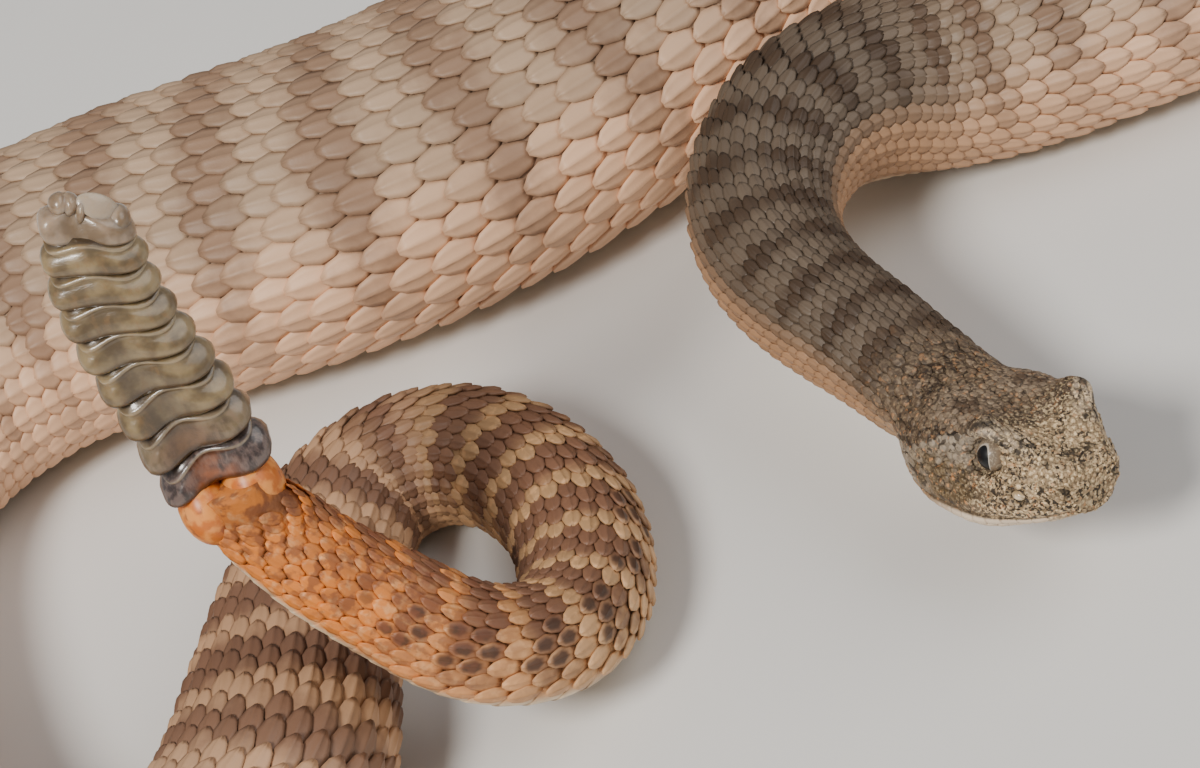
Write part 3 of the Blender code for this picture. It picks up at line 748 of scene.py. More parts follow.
def plate_shape(name, stations, rings, droop, ridge):
    """A low plate from its root at x = 0 to its tip at x = 1: its half-widths, keel and rim heights at
    each station, with a skirt that goes down into the skin. Ridge is the keel's share of the height over
    the rim, and the rest is a low dome. The local place is kept in `plan`."""
    keel_half, skirt_long, skirt_wide = 0.16, 0.94, 0.92
    points, plan_places = [], []
    for x, half, keel, rim in stations:
        for across in rings:
            sharp = max(0.0, 1 - abs(across) / keel_half)
            rise = rim + (keel - rim) * (ridge * sharp + (1 - ridge) * (1 - across * across))
            points.append((x, across * half, rise))
            plan_places.append((x, across * half + 0.5, abs(across)))
    faces, border = sheet(len(stations), len(rings))
    under = len(points)
    for at in border:
        x, y, z = points[at]
        points.append((0.5 + (x - 0.5) * skirt_long, y * skirt_wide, -droop + 0.7 * droop * x))
        plan_places.append(plan_places[at])
    for step in range(len(border)):
        after = (step + 1) % len(border)
        faces.append((border[step], border[after], under + after, under + step))
    faces.append(tuple(range(under, under + len(border))))
    mesh = bpy.data.meshes.new(name)
    mesh.from_pydata(points, [], faces)
    mesh.polygons.foreach_set("use_smooth", [True] * len(faces))
    store(mesh, "plan", plan_places)
    shape = bpy.data.objects.new(name, mesh)
    bpy.context.scene.collection.objects.link(shape)
    return shape


def scatter_tree(name):
    """Sets one plate on each point of a mesh, by the point's outward direction, lie and size."""
    tree = bpy.data.node_groups.new(name, "GeometryNodeTree")
    face = tree.interface
    face.new_socket("Geometry", in_out="INPUT", socket_type="NodeSocketGeometry")
    for label, kind, value in (
        ("Plate", "NodeSocketObject", None), ("Length", "NodeSocketFloat", 1.0),
        ("Width", "NodeSocketFloat", 1.0), ("Thickness", "NodeSocketFloat", 1.0),
        ("Unevenness", "NodeSocketFloat", 0.1), ("Tip lift", "NodeSocketFloat", 0.1),
        ("Seed", "NodeSocketInt", 1), ("Finish", "NodeSocketMaterial", None),
    ):
        socket = face.new_socket(label, in_out="INPUT", socket_type=kind)
        if value is not None:
            socket.default_value = value
    face.new_socket("Geometry", in_out="OUTPUT", socket_type="NodeSocketGeometry")
    done = tree.nodes.new("NodeGroupOutput")
    given = {}
    for socket in tree.nodes.new("NodeGroupInput").outputs:
        given[socket.name] = Wire(tree, socket)
    add = Wire(tree).add

    def attribute(label):
        return add("GeometryNodeInputNamedAttribute", {"data_type": "FLOAT_VECTOR"}, {"Name": label})

    def vectors(operation, first, second, at=1):
        return add("ShaderNodeVectorMath", {"operation": operation}, {0: first, at: second})

    shares = {0: given["Length"], 1: given["Width"], 2: given["Thickness"]}
    sized = vectors("MULTIPLY", attribute("size"), add("ShaderNodeCombineXYZ", None, shares))
    limits = {2: 1.0 - given["Unevenness"], 3: 1.0 + given["Unevenness"], 8: given["Seed"]}
    chance = add("FunctionNodeRandomValue", {"data_type": "FLOAT"}, limits, 1)
    sized = vectors("SCALE", sized, chance, "Scale")
    tilt = vectors("SCALE", attribute("lie"), given["Tip lift"], "Scale")
    leaning = vectors("SUBTRACT", attribute("out"), tilt)
    upright = add("FunctionNodeAlignRotationToVector", {"axis": "Z"}, {"Vector": leaning})
    turned = add(
        "FunctionNodeAlignRotationToVector", {"axis": "X", "pivot_axis": "Z"},
        {"Rotation": upright, "Vector": attribute("lie")},
    )
    plate = add("GeometryNodeObjectInfo", None, {"Object": given["Plate"]}, "Geometry")
    places = {"Points": given["Geometry"], "Instance": plate, "Rotation": turned, "Scale": sized}
    placed = add("GeometryNodeInstanceOnPoints", None, places)
    real = add("GeometryNodeRealizeInstances", None, {0: placed})
    painted = add("GeometryNodeSetMaterial", None, {0: real, "Material": given["Finish"]})
    tree.links.new(painted.socket, done.inputs[0])
    return tree


scatter = scatter_tree("plates on the skin")

# Sides of a plate's patch on the map, share of the map that one side of the animal fills, and the least
# that a plate shortens where the skin is drawn together.
PATCH = 0.003
TURN_SHARE = 0.498
LEAST_STRETCH = 0.45


def map_skin(mesh, patches):
    """The piece's own map of the skin, from a place on it for each point."""
    corners = np.empty(len(mesh.loops), np.int32)
    mesh.loops.foreach_get("vertex_index", corners)
    found = patches[corners].astype(np.float32).ravel()
    mesh.uv_layers.new(name="OFBake").data.foreach_set("uv", found)


def coat_of(name, along, turn, sizes, tints, plate, finish, slot, spread, most, ahead=0.0, **settings):
    """Plates at these places on the skin, sizes in millimetres, as one plain mesh with its markings and
    its own map of the skin: a small patch for each plate, at its root's place. Where the skin is drawn
    out they grow with it, by no more than `most`. The root lies ahead of the place by this share."""
    place, outward, lie, stretch = frame_at(along, turn)
    sizes = np.array(sizes)
    sizes[:, 0] *= np.clip(stretch, LEAST_STRETCH, most)
    place = place - lie * (sizes[:, 0] * ahead)[:, None]
    points = mesh_piece(f"{name}_points", place, [], finish)
    for label, values in (("out", outward), ("lie", lie), ("size", sizes * MM)):
        store(points.data, label, values)
    store(points.data, "root", np.stack([spread(along), 0.5 + TURN_SHARE * turn, tints], axis=1))
    store(points.data, "root_place", np.stack([along, turn, np.zeros_like(along)], axis=1))
    modifier = points.modifiers.new("plates", "NODES")
    modifier.node_group = scatter
    inputs = [item for item in scatter.interface.items_tree if item.in_out == "INPUT"]
    given = {item.name: item.identifier for item in inputs}
    for label, value in (("Plate", plate), ("Finish", finish), *settings.items()):
        modifier[given[label.replace("_", " ")]] = value
    bpy.context.view_layer.update()
    mesh = bpy.data.meshes.new_from_object(points.evaluated_get(bpy.context.evaluated_depsgraph_get()))
    piece = bpy.data.objects.new(name, mesh)
    mesh.name = name
    bpy.context.scene.collection.objects.link(piece)
    bpy.data.objects.remove(points)

    def read(label):
        found = np.empty(len(mesh.vertices) * 3, np.float32)
        mesh.attributes[label].data.foreach_get("vector", found)
        return found.reshape(-1, 3)

    root, rooted, plan_place, size = read("root"), read("root_place"), read("plan"), read("size") / MM
    for label in ("root", "root_place", "out", "lie", "size"):
        mesh.attributes.remove(mesh.attributes[label])
    edge = np.maximum(plan_place[:, 2], np.clip(np.abs(plan_place[:, 0] - 0.60) / 0.42, 0, 1))
    # On the body the markings are read partly at the root, so that each plate keeps nearly one tone.
    reach = rooted[:, 0] + plan_place[:, 0] * size[:, 0] * 0.5
    reach = np.where(rooted[:, 0] < 0, reach, 0.4 * rooted[:, 0] + 0.6 * reach)
    carry_markings(mesh, reach, rooted[:, 1], root[:, 2], edge)
    map_skin(mesh, root[:, :2] + (plan_place[:, :2] - 0.5) * PATCH)
    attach(piece, "root")
    return piece


scale_coat, start, feed = finish_of("keeled_scales", Roughness=0.52, Specular_IOR_Level=0.45)
ribs = start.cloud(0.35)
bump = start.add("ShaderNodeBump", None, {"Strength": 0.25, "Distance": 0.0001, "Height": ribs})
feed(Base_Color=marked(start), Normal=bump)

keeled = plate_shape(
    "keeled_scale",
    [
        (0.0, 0.22, 0.03, 0.00), (0.20, 0.42, 0.12, 0.02), (0.50, 0.50, 0.17, 0.035),
        (0.80, 0.36, 0.18, 0.05), (1.0, 0.10, 0.11, 0.06),
    ],
    (-1.0, -0.62, -0.16, 0.0, 0.16, 0.62, 1.0), 0.14, 0.55,
)

# The scales end at this turn, where the scutes begin. Each is this much longer than the pitch of the
# rows, and the last stop short of the rattle.
FLANK = 0.700
LAP = 1.36
BARE_END = 5.6
whole_count = int(scale_counts[-1])
first_column = int(np.interp(1.5, counted, scale_counts))


def rows_at(along):
    """How many rows of scales lie on each side of the middle one."""
    return 11 if along < 560 else 10 if along < 640 else 9 if along < 696 else 8


chance = np.random.default_rng(4)
places = []
for column in range(first_column, whole_count):
    for half in (0.0, 0.5):
        at = float(np.interp(column + half, scale_counts, counted))
        rows = rows_at(at)
        tries = np.linspace(0, FLANK, 60)
        outline = skin_at(np.full(60, at), tries)
        run = np.concatenate([[0], np.cumsum(np.linalg.norm(np.diff(outline, axis=0), axis=1))])
        spacing = run[-1] / (rows + 0.35)
        long = LAP * np.interp(at, *zip(*SCALE_PITCH))
        for row in range(-rows, rows + 1):
            if (row % 2 == 0) != (half == 0.0):
                continue
            turn = np.interp(abs(row) * spacing, run, tries) * (1 if row >= 0 else -1)
            broad = spacing * (1.16 + 0.10 * abs(row) / rows)
            places.append((at, turn, long, broad, 0.5 * (long + spacing)))
places = np.array(places)
places = places[places[:, 0] < BODY_LENGTH - BARE_END]
along, turn, sizes = places[:, 0], places[:, 1], places[:, 2:]
sizes[:, 0] *= np.interp(along, (765.0, BODY_LENGTH), (1.0, 0.72))
sizes[:, 2] *= np.interp(along, (740.0, BODY_LENGTH), (1.0, 0.55))
along = along + chance.normal(0, 0.10, len(along))
tints = chance.random(len(along))

# The head fills this share of the map of the skin and the body nearly all the rest.
HEAD_SHARE = 0.14
BODY_SHARE = 0.855


def body_spread(along):
    return HEAD_SHARE + BODY_SHARE * np.interp(along, counted, scale_counts) / scale_counts[-1]


for name, low, high, slot in (
    ("scales_neck_and_forebody", -10, 215, "body_skin"), ("scales_midbody", 215, 470, "body_skin"),
    ("scales_rear_and_tail", 470, 900, "tail_skin"),
):
    here = (along >= low) & (along < high)
    coat_of(
        name, along[here], turn[here], sizes[here], tints[here], keeled, scale_coat, slot,
        body_spread, 1.22, Unevenness=0.06, Tip_lift=0.06, Seed=3,
    )
bpy.data.objects.remove(keeled)


# Belly scutes
# One broad smooth plate across the belly for each row of scales, its hind edge free and lapping over
# the next. They show along the raised neck, on the inside of the tail's turn and from below.
scute_coat, start, feed = finish_of("belly_scutes", Roughness=0.42, Specular_IOR_Level=0.5)
feed(Base_Color=marked(start))

# Round the edge of a scute, seen from its side: the share of its length, and the height over the skin.
SCUTE_STEPS = ((0.0, -0.20), (0.10, 0.05), (0.55, 0.12), (0.92, 0.24), (1.0, 0.16), (0.97, -0.05))
SCUTE_LAP = 1.16
BELLY_ON_MAP = 0.002
ACROSS = np.linspace(-1, 1, 15)
broad = len(ACROSS)
low_edge = np.clip((np.abs(ACROSS) - 0.86) / 0.14, 0, 1) * 0.22
turn = 1.0 + ACROSS * (1.035 - FLANK)
turn = np.where(turn > 1, turn - 2, turn)
points, faces, alongs, turns, plans, tints = [], [], [], [], [], []
for column in range(first_column, whole_count):
    start_at, end_at = np.interp((column, column + SCUTE_LAP), scale_counts, counted)
    end_at = min(end_at, BODY_LENGTH)
    if end_at - start_at < 0.5:
        continue
    base = len(points)
    tints += [chance.random()] * (broad * len(SCUTE_STEPS))
    size = 0.5 + 0.5 * np.interp(start_at, marks, half_widths) / 20
    for part, lift in SCUTE_STEPS:
        at = np.full(broad, start_at + (end_at - start_at) * part)
        place, outward, _, _ = frame_at(at, turn)
        laid = place + outward * ((lift - low_edge) * size)[:, None]
        laid[:, 2] = np.maximum(laid[:, 2], 0.02)
        points += list(laid)
        alongs += list(at)
        turns += list(turn)
        plans += [(part, 0.5 + 0.5 * across) for across in ACROSS]
    for step in range(len(SCUTE_STEPS)):
        after = (step + 1) % len(SCUTE_STEPS)
        for side in range(broad - 1):
            near, far = base + step * broad + side, base + after * broad + side
            faces.append((near, near + 1, far + 1, far))
    edge = range(base, base + broad * len(SCUTE_STEPS), broad)
    faces += [tuple(edge), tuple(at + broad - 1 for at in reversed(edge))]
scutes = mesh_piece("belly_scutes", points, faces, scute_coat)
alongs, plans = np.array(alongs), np.array(plans)
carry_markings(scutes.data, alongs, np.array(turns), np.array(tints), np.zeros(len(points)))
roots = np.stack([body_spread(alongs), np.full(len(points), BELLY_ON_MAP)], axis=1)
map_skin(scutes.data, plans * PATCH + roots)
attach(scutes, "root")


# Plates of the face
# Larger plates moulded to the face: a row along each lip, over and under the line of the mouth, and the
# shield over each eye. They meet edge to edge.
face_coat, start, feed = finish_of("face_scales", Roughness=0.58, Specular_IOR_Level=0.42)
ribs = start.cloud(0.22, 3.0, 0.6)
bump = start.add("ShaderNodeBump", None, {"Strength": 0.30, "Distance": 0.00012, "Height": ribs})
feed(Base_Color=marked(start), Normal=bump)

# Points of a plate along and across it, how far its corners are rounded and its top domed, how far its
# underside is let into the skin and drawn in, and the part of its place that it fills.
PLATE_ROWS = 9
PLATE_COLUMNS = 7
ROUNDING = 0.20
DOMING = 0.35
LET_IN = -0.35
DRAWN_IN = 0.94
FILLS = (0.975, 0.96)


def head_spread(along):
    return HEAD_SHARE * np.clip(1 + along / HEAD_LENGTH, 0, 1)


def behind_snout(fraction):
    return (fraction - 1) * HEAD_LENGTH


# Each row: nearer and further edge as shares of the head's length, upper and lower turn, height, lean.
plates = []
lip_edges = np.linspace(0.040, 0.76, 13)
for side in (1, -1):
    for near, far in zip(lip_edges[:-1], lip_edges[1:]):
        high = 0.490 - 0.050 - 0.016 * mound(abs(near - 0.30), 0.4) + 0.006 * chance.random()
        plates.append((near, far, side * high, side * 0.494, 0.12, 0.12))
        low = 0.508 + 0.052 + 0.010 * chance.random()
        plates.append((near + 0.012, far + 0.012, side * 0.508, side * low, 0.22, -0.10))
    plates.append((0.262, 0.450, side * 0.118, side * 0.178, 0.16, 0.30))

u, v = np.meshgrid(np.linspace(-1, 1, PLATE_ROWS), np.linspace(-1, 1, PLATE_COLUMNS), indexing="ij")
x = u * np.sqrt(1 - ROUNDING * v * v)
y = v * np.sqrt(1 - ROUNDING * u * u)
rim = np.maximum(np.abs(u), np.abs(v))
upper_faces, border = sheet(PLATE_ROWS, PLATE_COLUMNS)
under = u.size
shell = list(upper_faces)
shell += [tuple(under + corner for corner in face[::-1]) for face in upper_faces]
for at, after in zip(border, border[1:] + border[:1]):
    shell.append((at, after, under + after, under + at))
points, faces, alongs, turns, plans, tints = [], [], [], [], [], []
for near, far, upper, lower, height, lean in plates:
    tints += [chance.random()] * (2 * u.size)
    near, far = behind_snout(near), behind_snout(far)
    middle, half = 0.5 * (near + far), 0.5 * (far - near)
    mid_turn, half_turn = 0.5 * (upper + lower), 0.5 * (lower - upper)
    along = half * x * FILLS[0] + lean * y
    turn = half_turn * y * FILLS[1]
    order = 1 if lower < upper else -1
    faces += [tuple(len(points) + corner for corner in face[::order]) for face in shell]
    root = np.array((float(head_spread(near)), 0.5 + TURN_SHARE * mid_turn))
    for lift, shrink in (((1 - DOMING * rim**2) * height, 1.0), (np.full_like(x, LET_IN), DRAWN_IN)):
        aside = (mid_turn + turn * shrink + 1) % 2 - 1
        place, outward, _, _ = frame_at(middle + along * shrink, aside)
        points += list((place + outward * lift[..., None]).reshape(-1, 3))
        alongs += list(middle + along.ravel())
        turns += list(((mid_turn + turn + 1) % 2 - 1).ravel())
        plans += list(root + 0.5 * PATCH * np.stack([u, v], axis=-1).reshape(-1, 2))
edges = np.tile(rim.ravel() ** 3, 2 * len(plates))
piece = mesh_piece("face_plates", points, faces, face_coat)
carry_markings(piece.data, np.array(alongs), np.array(turns), np.array(tints), edges)
map_skin(piece.data, np.array(plans))
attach(piece, "root")


# Small scales of the head
# About a thousand little grains, finest on the snout and larger and keeled towards the neck, closely
# set but never in true rows. They leave room for the lips, the shields, the eyes, pits and nostrils.
grain_shape = plate_shape(
    "head_grain",
    [
        (0.0, 0.24, 0.06, 0.00), (0.24, 0.44, 0.20, 0.08), (0.52, 0.50, 0.26, 0.12),
        (0.80, 0.38, 0.24, 0.12), (1.0, 0.16, 0.14, 0.10),
    ],
    (-1.0, -0.5, 0.0, 0.5, 1.0), 0.22, 0.25,
)

# Share of the head's length, and the distance between grains there.
SPACINGS = ((0.0, 0.10, 0.22, 0.40, 0.60, 0.85, 1.0), (0.56, 0.60, 0.70, 0.82, 0.96, 1.16, 1.42))
# Turn about the head, and how many times wider they are set there.
WIDER = ((0.0, 0.3, 0.5, 0.62, 0.8, 1.0), (1.0, 1.08, 1.1, 1.5, 1.9, 2.0))
TRIES = 30000
CLOSEST = 0.46
# Room left about the middle of the eye, pit and nostril, and how far out the skin lies there.
ROOMS = ((EYE, 0.080, 0.15), (PIT, 0.030, 0.16), (NOSTRIL, 0.019, 0.08))
# The turns between which the shield over each eye lies.
SHIELD = (0.112, 0.184)


def spacing_at(fraction, turn):
    under = np.interp(np.abs(turn), *WIDER)
    wider = 1 + (under - 1) * np.interp(fraction, (0.04, 0.14), (0.0, 1.0))
    return np.interp(fraction, *SPACINGS) * wider


fraction = chance.random(TRIES) ** 0.8 * 1.03
front = 1 - np.sqrt(chance.random(TRIES // 6))
fraction[: len(front)] = BLUNT * (1 - (1 - (1 - front) ** 2) ** (1 / BLUNTNESS))
turn = chance.uniform(-1, 1, TRIES)
places, _, _, _ = frame_at(behind_snout(fraction), turn)
local = head_at(np.minimum(fraction, 1.0), turn)
from_lips = np.abs(np.abs(turn) - 0.5)
free = (fraction > 0.0062) | (from_lips < 0.09) & (fraction > 0.004)
for middle, room, out in ROOMS:
    gone = np.hypot(local[:, 0] - middle[0], local[:, 2] - middle[2])
    free &= ~((gone < room) & (np.abs(local[:, 1]) > out))
free &= (from_lips > 0.014) | (fraction > 0.78)
free &= ~((from_lips < 0.075) & (fraction > 0.035) & (fraction < 0.77))
on_shield = (np.abs(turn) > SHIELD[0]) & (np.abs(turn) < SHIELD[1])
free &= ~(on_shield & (fraction > 0.256) & (fraction < 0.456))
spacings = spacing_at(fraction, turn)
kept = np.zeros(TRIES, bool)
for index in np.flatnonzero(free):
    gone = np.linalg.norm(places[kept] - places[index], axis=1)
    kept[index] = (gone >= CLOSEST * (spacings[kept] + spacings[index])).all()

# A ring of grains round each eye and each pit.
grid = np.meshgrid(np.linspace(0.02, 0.6, 240), np.linspace(0.12, 0.62, 200), indexing="ij")
grid_fraction, grid_turn = grid[0].ravel(), grid[1].ravel()
grid_local = head_at(grid_fraction, grid_turn)
ringed = []
for middle, reach, count, size in ((EYE, 0.084, 19, 0.86), (PIT, 0.036, 9, 0.72)):
    for step in range(count):
        angle = 2 * math.pi * step / count
        x, z = middle[0] + reach * math.cos(angle) * 1.08, middle[2] + reach * math.sin(angle)
        nearest = np.argmin(np.hypot(grid_local[:, 0] - x, grid_local[:, 2] - z))
        if SHIELD[0] < grid_turn[nearest] < SHIELD[1] and middle is EYE:
            continue
        for side in (1, -1):
            ringed.append((grid_fraction[nearest], side * grid_turn[nearest], size))
grains = np.concatenate([np.stack([fraction, turn, spacings], axis=1)[kept], ringed])
fraction, turn, spacings = grains.T
longer = np.interp(fraction, (0.0, 0.3, 1.0), (1.10, 1.25, 1.55))
sizes = np.stack([spacings * longer, spacings * 1.08, spacings * 0.62], axis=1)
coat_of(
    "head_grains", behind_snout(fraction), turn, sizes, chance.random(len(fraction)),
    grain_shape, face_coat, "head_skin", head_spread, 1.15, 0.42, Unevenness=0.08, Tip_lift=0.06, Seed=8,
)
bpy.data.objects.remove(grain_shape)


# Heat pits
# A hollow between each eye and nostril, part filled by a smooth fold of bare skin. Its cream colour
# is partly the membrane's own and partly a painted highlight, for the light that glints in the pit.
def ball(turns, rows):
    """Directions over a ball, from pole to pole, and its faces."""
    directions = [(0.0, 0.0, 1.0)]
    for row in range(1, rows):
        lean = math.pi * row / rows
        for turn in range(turns):
            angle = 2 * math.pi * turn / turns
            level = math.sin(lean)
            directions.append((level * math.cos(angle), level * math.sin(angle), math.cos(lean)))
    directions.append((0.0, 0.0, -1.0))
    last = len(directions) - 1
    faces = []
    for turn in range(turns):
        after = (turn + 1) % turns
        faces.append((0, 1 + turn, 1 + after))
        for row in range(rows - 2):
            near, far = 1 + row * turns, 1 + (row + 1) * turns
            faces.append((near + turn, far + turn, far + after, near + after))
        faces.append((last, last - turns + after, last - turns + turn))
    return np.array(directions), faces


def lobe(middle, radii, ways, bend=0.0, notch=0.0):
    """A soft lump, bent over its second way and notched down its middle."""
    directions, faces = ball(28, 16)
    x, y, z = directions.T
    narrow = 1 - notch * np.exp(-((x / 0.16) ** 2)) * (0.4 + 0.6 * np.abs(y))
    narrow[[0, -1]] = 1.0
    wide, thin = x * radii[0], y * radii[1] * narrow
    tall = z * radii[2] * narrow + bend * x * x * radii[0]
    points = middle + np.stack([wide, thin, tall], axis=1) @ np.array(ways)
    if np.dot(np.cross(ways[0], ways[1]), ways[2]) < 0:
        faces = [face[::-1] for face in faces]
    return points, faces


def joined(lumps):
    """Several closed shapes as one."""
    points, faces = np.zeros((0, 3)), []
    for lump, sides in lumps:
        faces += [tuple(len(points) + corner for corner in side) for side in sides]
        points = np.concatenate([points, lump])
    return points, faces


# Cream paint on the folds: partly the membrane's colour, partly painted highlight.
pit_skin_and_glint, start, feed = finish_of("pit_skin_and_glint", Roughness=0.24, Coat_Weight=1.0, Coat_Roughness=0.05)
feed(Base_Color=start.cloud(0.9, 2.0).rise(0.42, 0.60).between(tone(176, 150, 112), tone(214, 194, 160)))
# Place of each fold, how far it is sunk into the skin, and its half sizes.
FOLDS = ((-0.186, 0.044, 0.45, (0.95, 0.66, 0.60)), (-0.152, 0.056, 0.28, (1.25, 0.62, 0.42)))
lumps = []
for side in (1, -1):
    facing = units(np.array((0.42, 0.90 * side, -0.06)))
    level = units(np.cross((0.10, 0.0, 1.0), facing))
    ways = [way @ head_axes for way in (level, np.cross(facing, level), facing)]
    for x, z, sunk, radii in FOLDS:
        y = side * float(np.interp(-x, (0.11, 0.22), (0.196, 0.247)))
        lumps.append(lobe(on_head(np.array((x, y, z))) - ways[2] * sunk, radii, ways))
pits = mesh_piece("pit_membranes", *joined(lumps), pit_skin_and_glint)
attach(pits, "root")


# Eyes
# Each is a ball under a clear, dry scale, with an upright slit for a pupil and an iris coloured like
# the face round it.
eye_glass, start, feed = finish_of(
    "eye_glass", Roughness=0.42, Specular_IOR_Level=0.3, Coat_Weight=0.18, Coat_Roughness=0.06
)
across, upward = start.value("across"), start.value("upward")
oval = across * across * 0.84 + upward * upward * 0.30
pupil = 1.0 - oval.rise(0.97, 1.05)
ring = 1.0 - oval.rise(1.12, 1.26)
speckle = start.cloud(0.28, 3.0, 0.6).rise(0.46, 0.60)
iris = speckle.between(tone(120, 106, 90), tone(160, 145, 124))
iris = start.cloud(0.9, 2.0, shift=5.0).rise(0.5, 0.62).between(iris, tone(132, 114, 94))
iris = ring.between(iris, tone(184, 174, 160))
feed(Base_Color=pupil.between(iris, tone(7, 8, 12)))

# Radius of the eye in parts of the head's length, the same in millimetres for the iris, and the way
# that the slit stands.
EYE_RADIUS = 0.070
IRIS_REACH = 2.2
SLIT = np.array((0.06, 0.0, 1.0))
directions, faces = ball(32, 24)
x, y, z = directions.T
bulge = EYE_RADIUS * (1 + 0.05 * np.maximum(z, 0.0) ** 4)
for name, side, aim in (("eye_right", -1.0, (0.06, -0.99, -0.08)), ("eye_left", 1.0, (0.12, 0.98, -0.02))):
    aim = units(np.array(aim))
    upright = units(SLIT - aim * np.dot(SLIT, aim))
    ways = np.array((np.cross(upright, aim), upright, aim))
    points = EYE * (1, side, 1) + bulge[:, None] * (directions @ ways)
    eye = mesh_piece(name + "_ball", on_head(points), faces, eye_glass)
    store(eye.data, "across", IRIS_REACH * np.where(z > 0, x, 1.0))
    store(eye.data, "upward", IRIS_REACH * y)
    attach(eye, "root")
    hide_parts(name)


# Rattle
# Eight loose rings of clear olive horn, the shed ends of old skins. Each is a two-lobed shell, swollen
# at its root, with a thin wavy ledge near its far edge where the next ring grips it. The first is the
# newest and darkest, the deep grooves of the new rings fade in the old ones, and the whole leans over.
horn, start, feed = finish_of(
    "rattle_horn", Roughness=0.34, Coat_Weight=0.60, Coat_Roughness=0.12,
    Subsurface_Weight=0.35, Subsurface_Scale=0.003, Subsurface_Radius=(1.0, 0.72, 0.38),
)
ring_place, rise, middle = start.value("ring"), start.value("rise"), start.value("middle")
cloudy = start.cloud(3.2, 3.0)
streak = start.cloud(0.9, 3.0, 0.6, stretch=(1.0, 1.0, 0.35), shift=9.0)
body = cloudy.rise(0.38, 0.66).between(tone(92, 76, 52), tone(138, 119, 86))
body = (streak.rise(0.5, 0.7) * 0.45).between(body, tone(130, 100, 64))
old = cloudy.rise(0.35, 0.62).between(tone(116, 96, 74), tone(154, 133, 112))
old = ring_place.rise(1.02, 1.08).between(old, tone(166, 147, 127))
body = ring_place.rise(0.88, 0.99).between(body, old)
young = streak.rise(0.40, 0.62).between(tone(54, 43, 41), tone(100, 84, 78))
glow = middle.rise(0.10, 0.90) * (1.0 - rise.rise(0.40, 0.80)) * cloudy.rise(0.30, 0.62)
young = (glow * 0.85).between(young, tone(160, 90, 44))
body = (1.0 - ring_place.rise(0.01, 0.22)).between(body, young)
# Painted shade: the horn is darkened at the foot and the top edge of each ring, where the rings overlap.
painted_crease_shade = (1.0 - rise.rise(0.0, 0.16)) + rise.rise(0.88, 0.97)
body = (painted_crease_shade * 0.75).between(body, tone(50, 36, 24))
# Painted shade: the groove down the face of the new rings is darkened.
furrow = middle.rise(0.25, 0.9) * ring_place.rise(0.02, 0.12) * (1.0 - ring_place.rise(0.3, 0.8))
body = (furrow * 0.55).between(body, tone(60, 46, 32))
# Painted highlight: a pale line along the ledge near the top of each ring.
painted_ledge_highlight = 1.0 - abs(rise - 0.82).rise(0.02, 0.06)
body = (painted_ledge_highlight * 0.35).between(body, tone(178, 160, 134))
fine_lines = start.cloud(0.5, 2.0, stretch=(1.0, 1.0, 3.0), shift=4.0)
bump = start.add("ShaderNodeBump", None, {"Strength": 0.20, "Distance": 0.0002, "Height": fine_lines})
feed(Base_Color=body, Normal=bump)

# Heights of the feet of the first two rings, the pitch of the next and how much each after it closes
# up, widths of the first and last ring, thickness as a share of width, points round a ring, and how
# wide the groove down its face is.
RINGS = 8
FIRST_FOOT = 1.3
SECOND_FOOT = 6.6
NEXT_RING = 4.95
RING_CLOSING = 0.17
RATTLE_BASE = 15.0
RATTLE_TOP = 12.7
RATTLE_FLATNESS = 0.62
ROUND_SIDES = 72
GROOVE_WIDTH = 0.42
# Height up the rattle, bow to its right and lean in degrees.
RATTLE_BEND = [
    (0.0, 0.0, 0.0), (3.2, 0.5, 5.0), (8.0, 0.0, 4.5), (13.0, -0.4, 0.0),
    (22.5, -1.5, -9.0), (31.4, -1.7, -17.5), (39.2, -0.4, -27.0), (43.0, 0.3, -33.0),
]
rattle_foot = centres[-1]
level_wide = units(np.array((1.0, 0.0, 0.0)) - RATTLE_AXIS * RATTLE_AXIS[0])
thin_way = np.cross(RATTLE_AXIS, level_wide)


def up_rattle(up):
    """The middle of the rattle at this height, with the directions across it and onward."""
    bend = np.array(RATTLE_BEND)
    bow, lean = (float(smooth(bend[:, 0], bend[:, column], up)) for column in (1, 2))
    cosine, sine = math.cos(math.radians(lean)), math.sin(math.radians(lean))
    middle = rattle_foot + RATTLE_AXIS * up + level_wide * bow
    return middle, level_wide * cosine + RATTLE_AXIS * sine, RATTLE_AXIS * cosine - level_wide * sine


# Up each ring: height as a share of the pitch, swelling, depth of the groove, and how far it waves.
PROFILE = [
    (0.16, 0.66, 0.52, 0.0), (0.02, 0.78, 0.50, 0.02), (-0.04, 0.90, 0.50, 0.05),
    (0.02, 0.97, 0.52, 0.09), (0.14, 1.01, 0.55, 0.12), (0.30, 1.015, 0.58, 0.15),
    (0.48, 0.97, 0.56, 0.17), (0.62, 0.90, 0.50, 0.18), (0.71, 0.84, 0.44, 0.18),
    (0.76, 0.835, 0.38, 0.18), (0.80, 0.87, 0.34, 0.18), (0.86, 0.87, 0.34, 0.18),
    (0.90, 0.82, 0.38, 0.17), (0.98, 0.74, 0.50, 0.10), (1.10, 0.62, 0.56, 0.0),
]


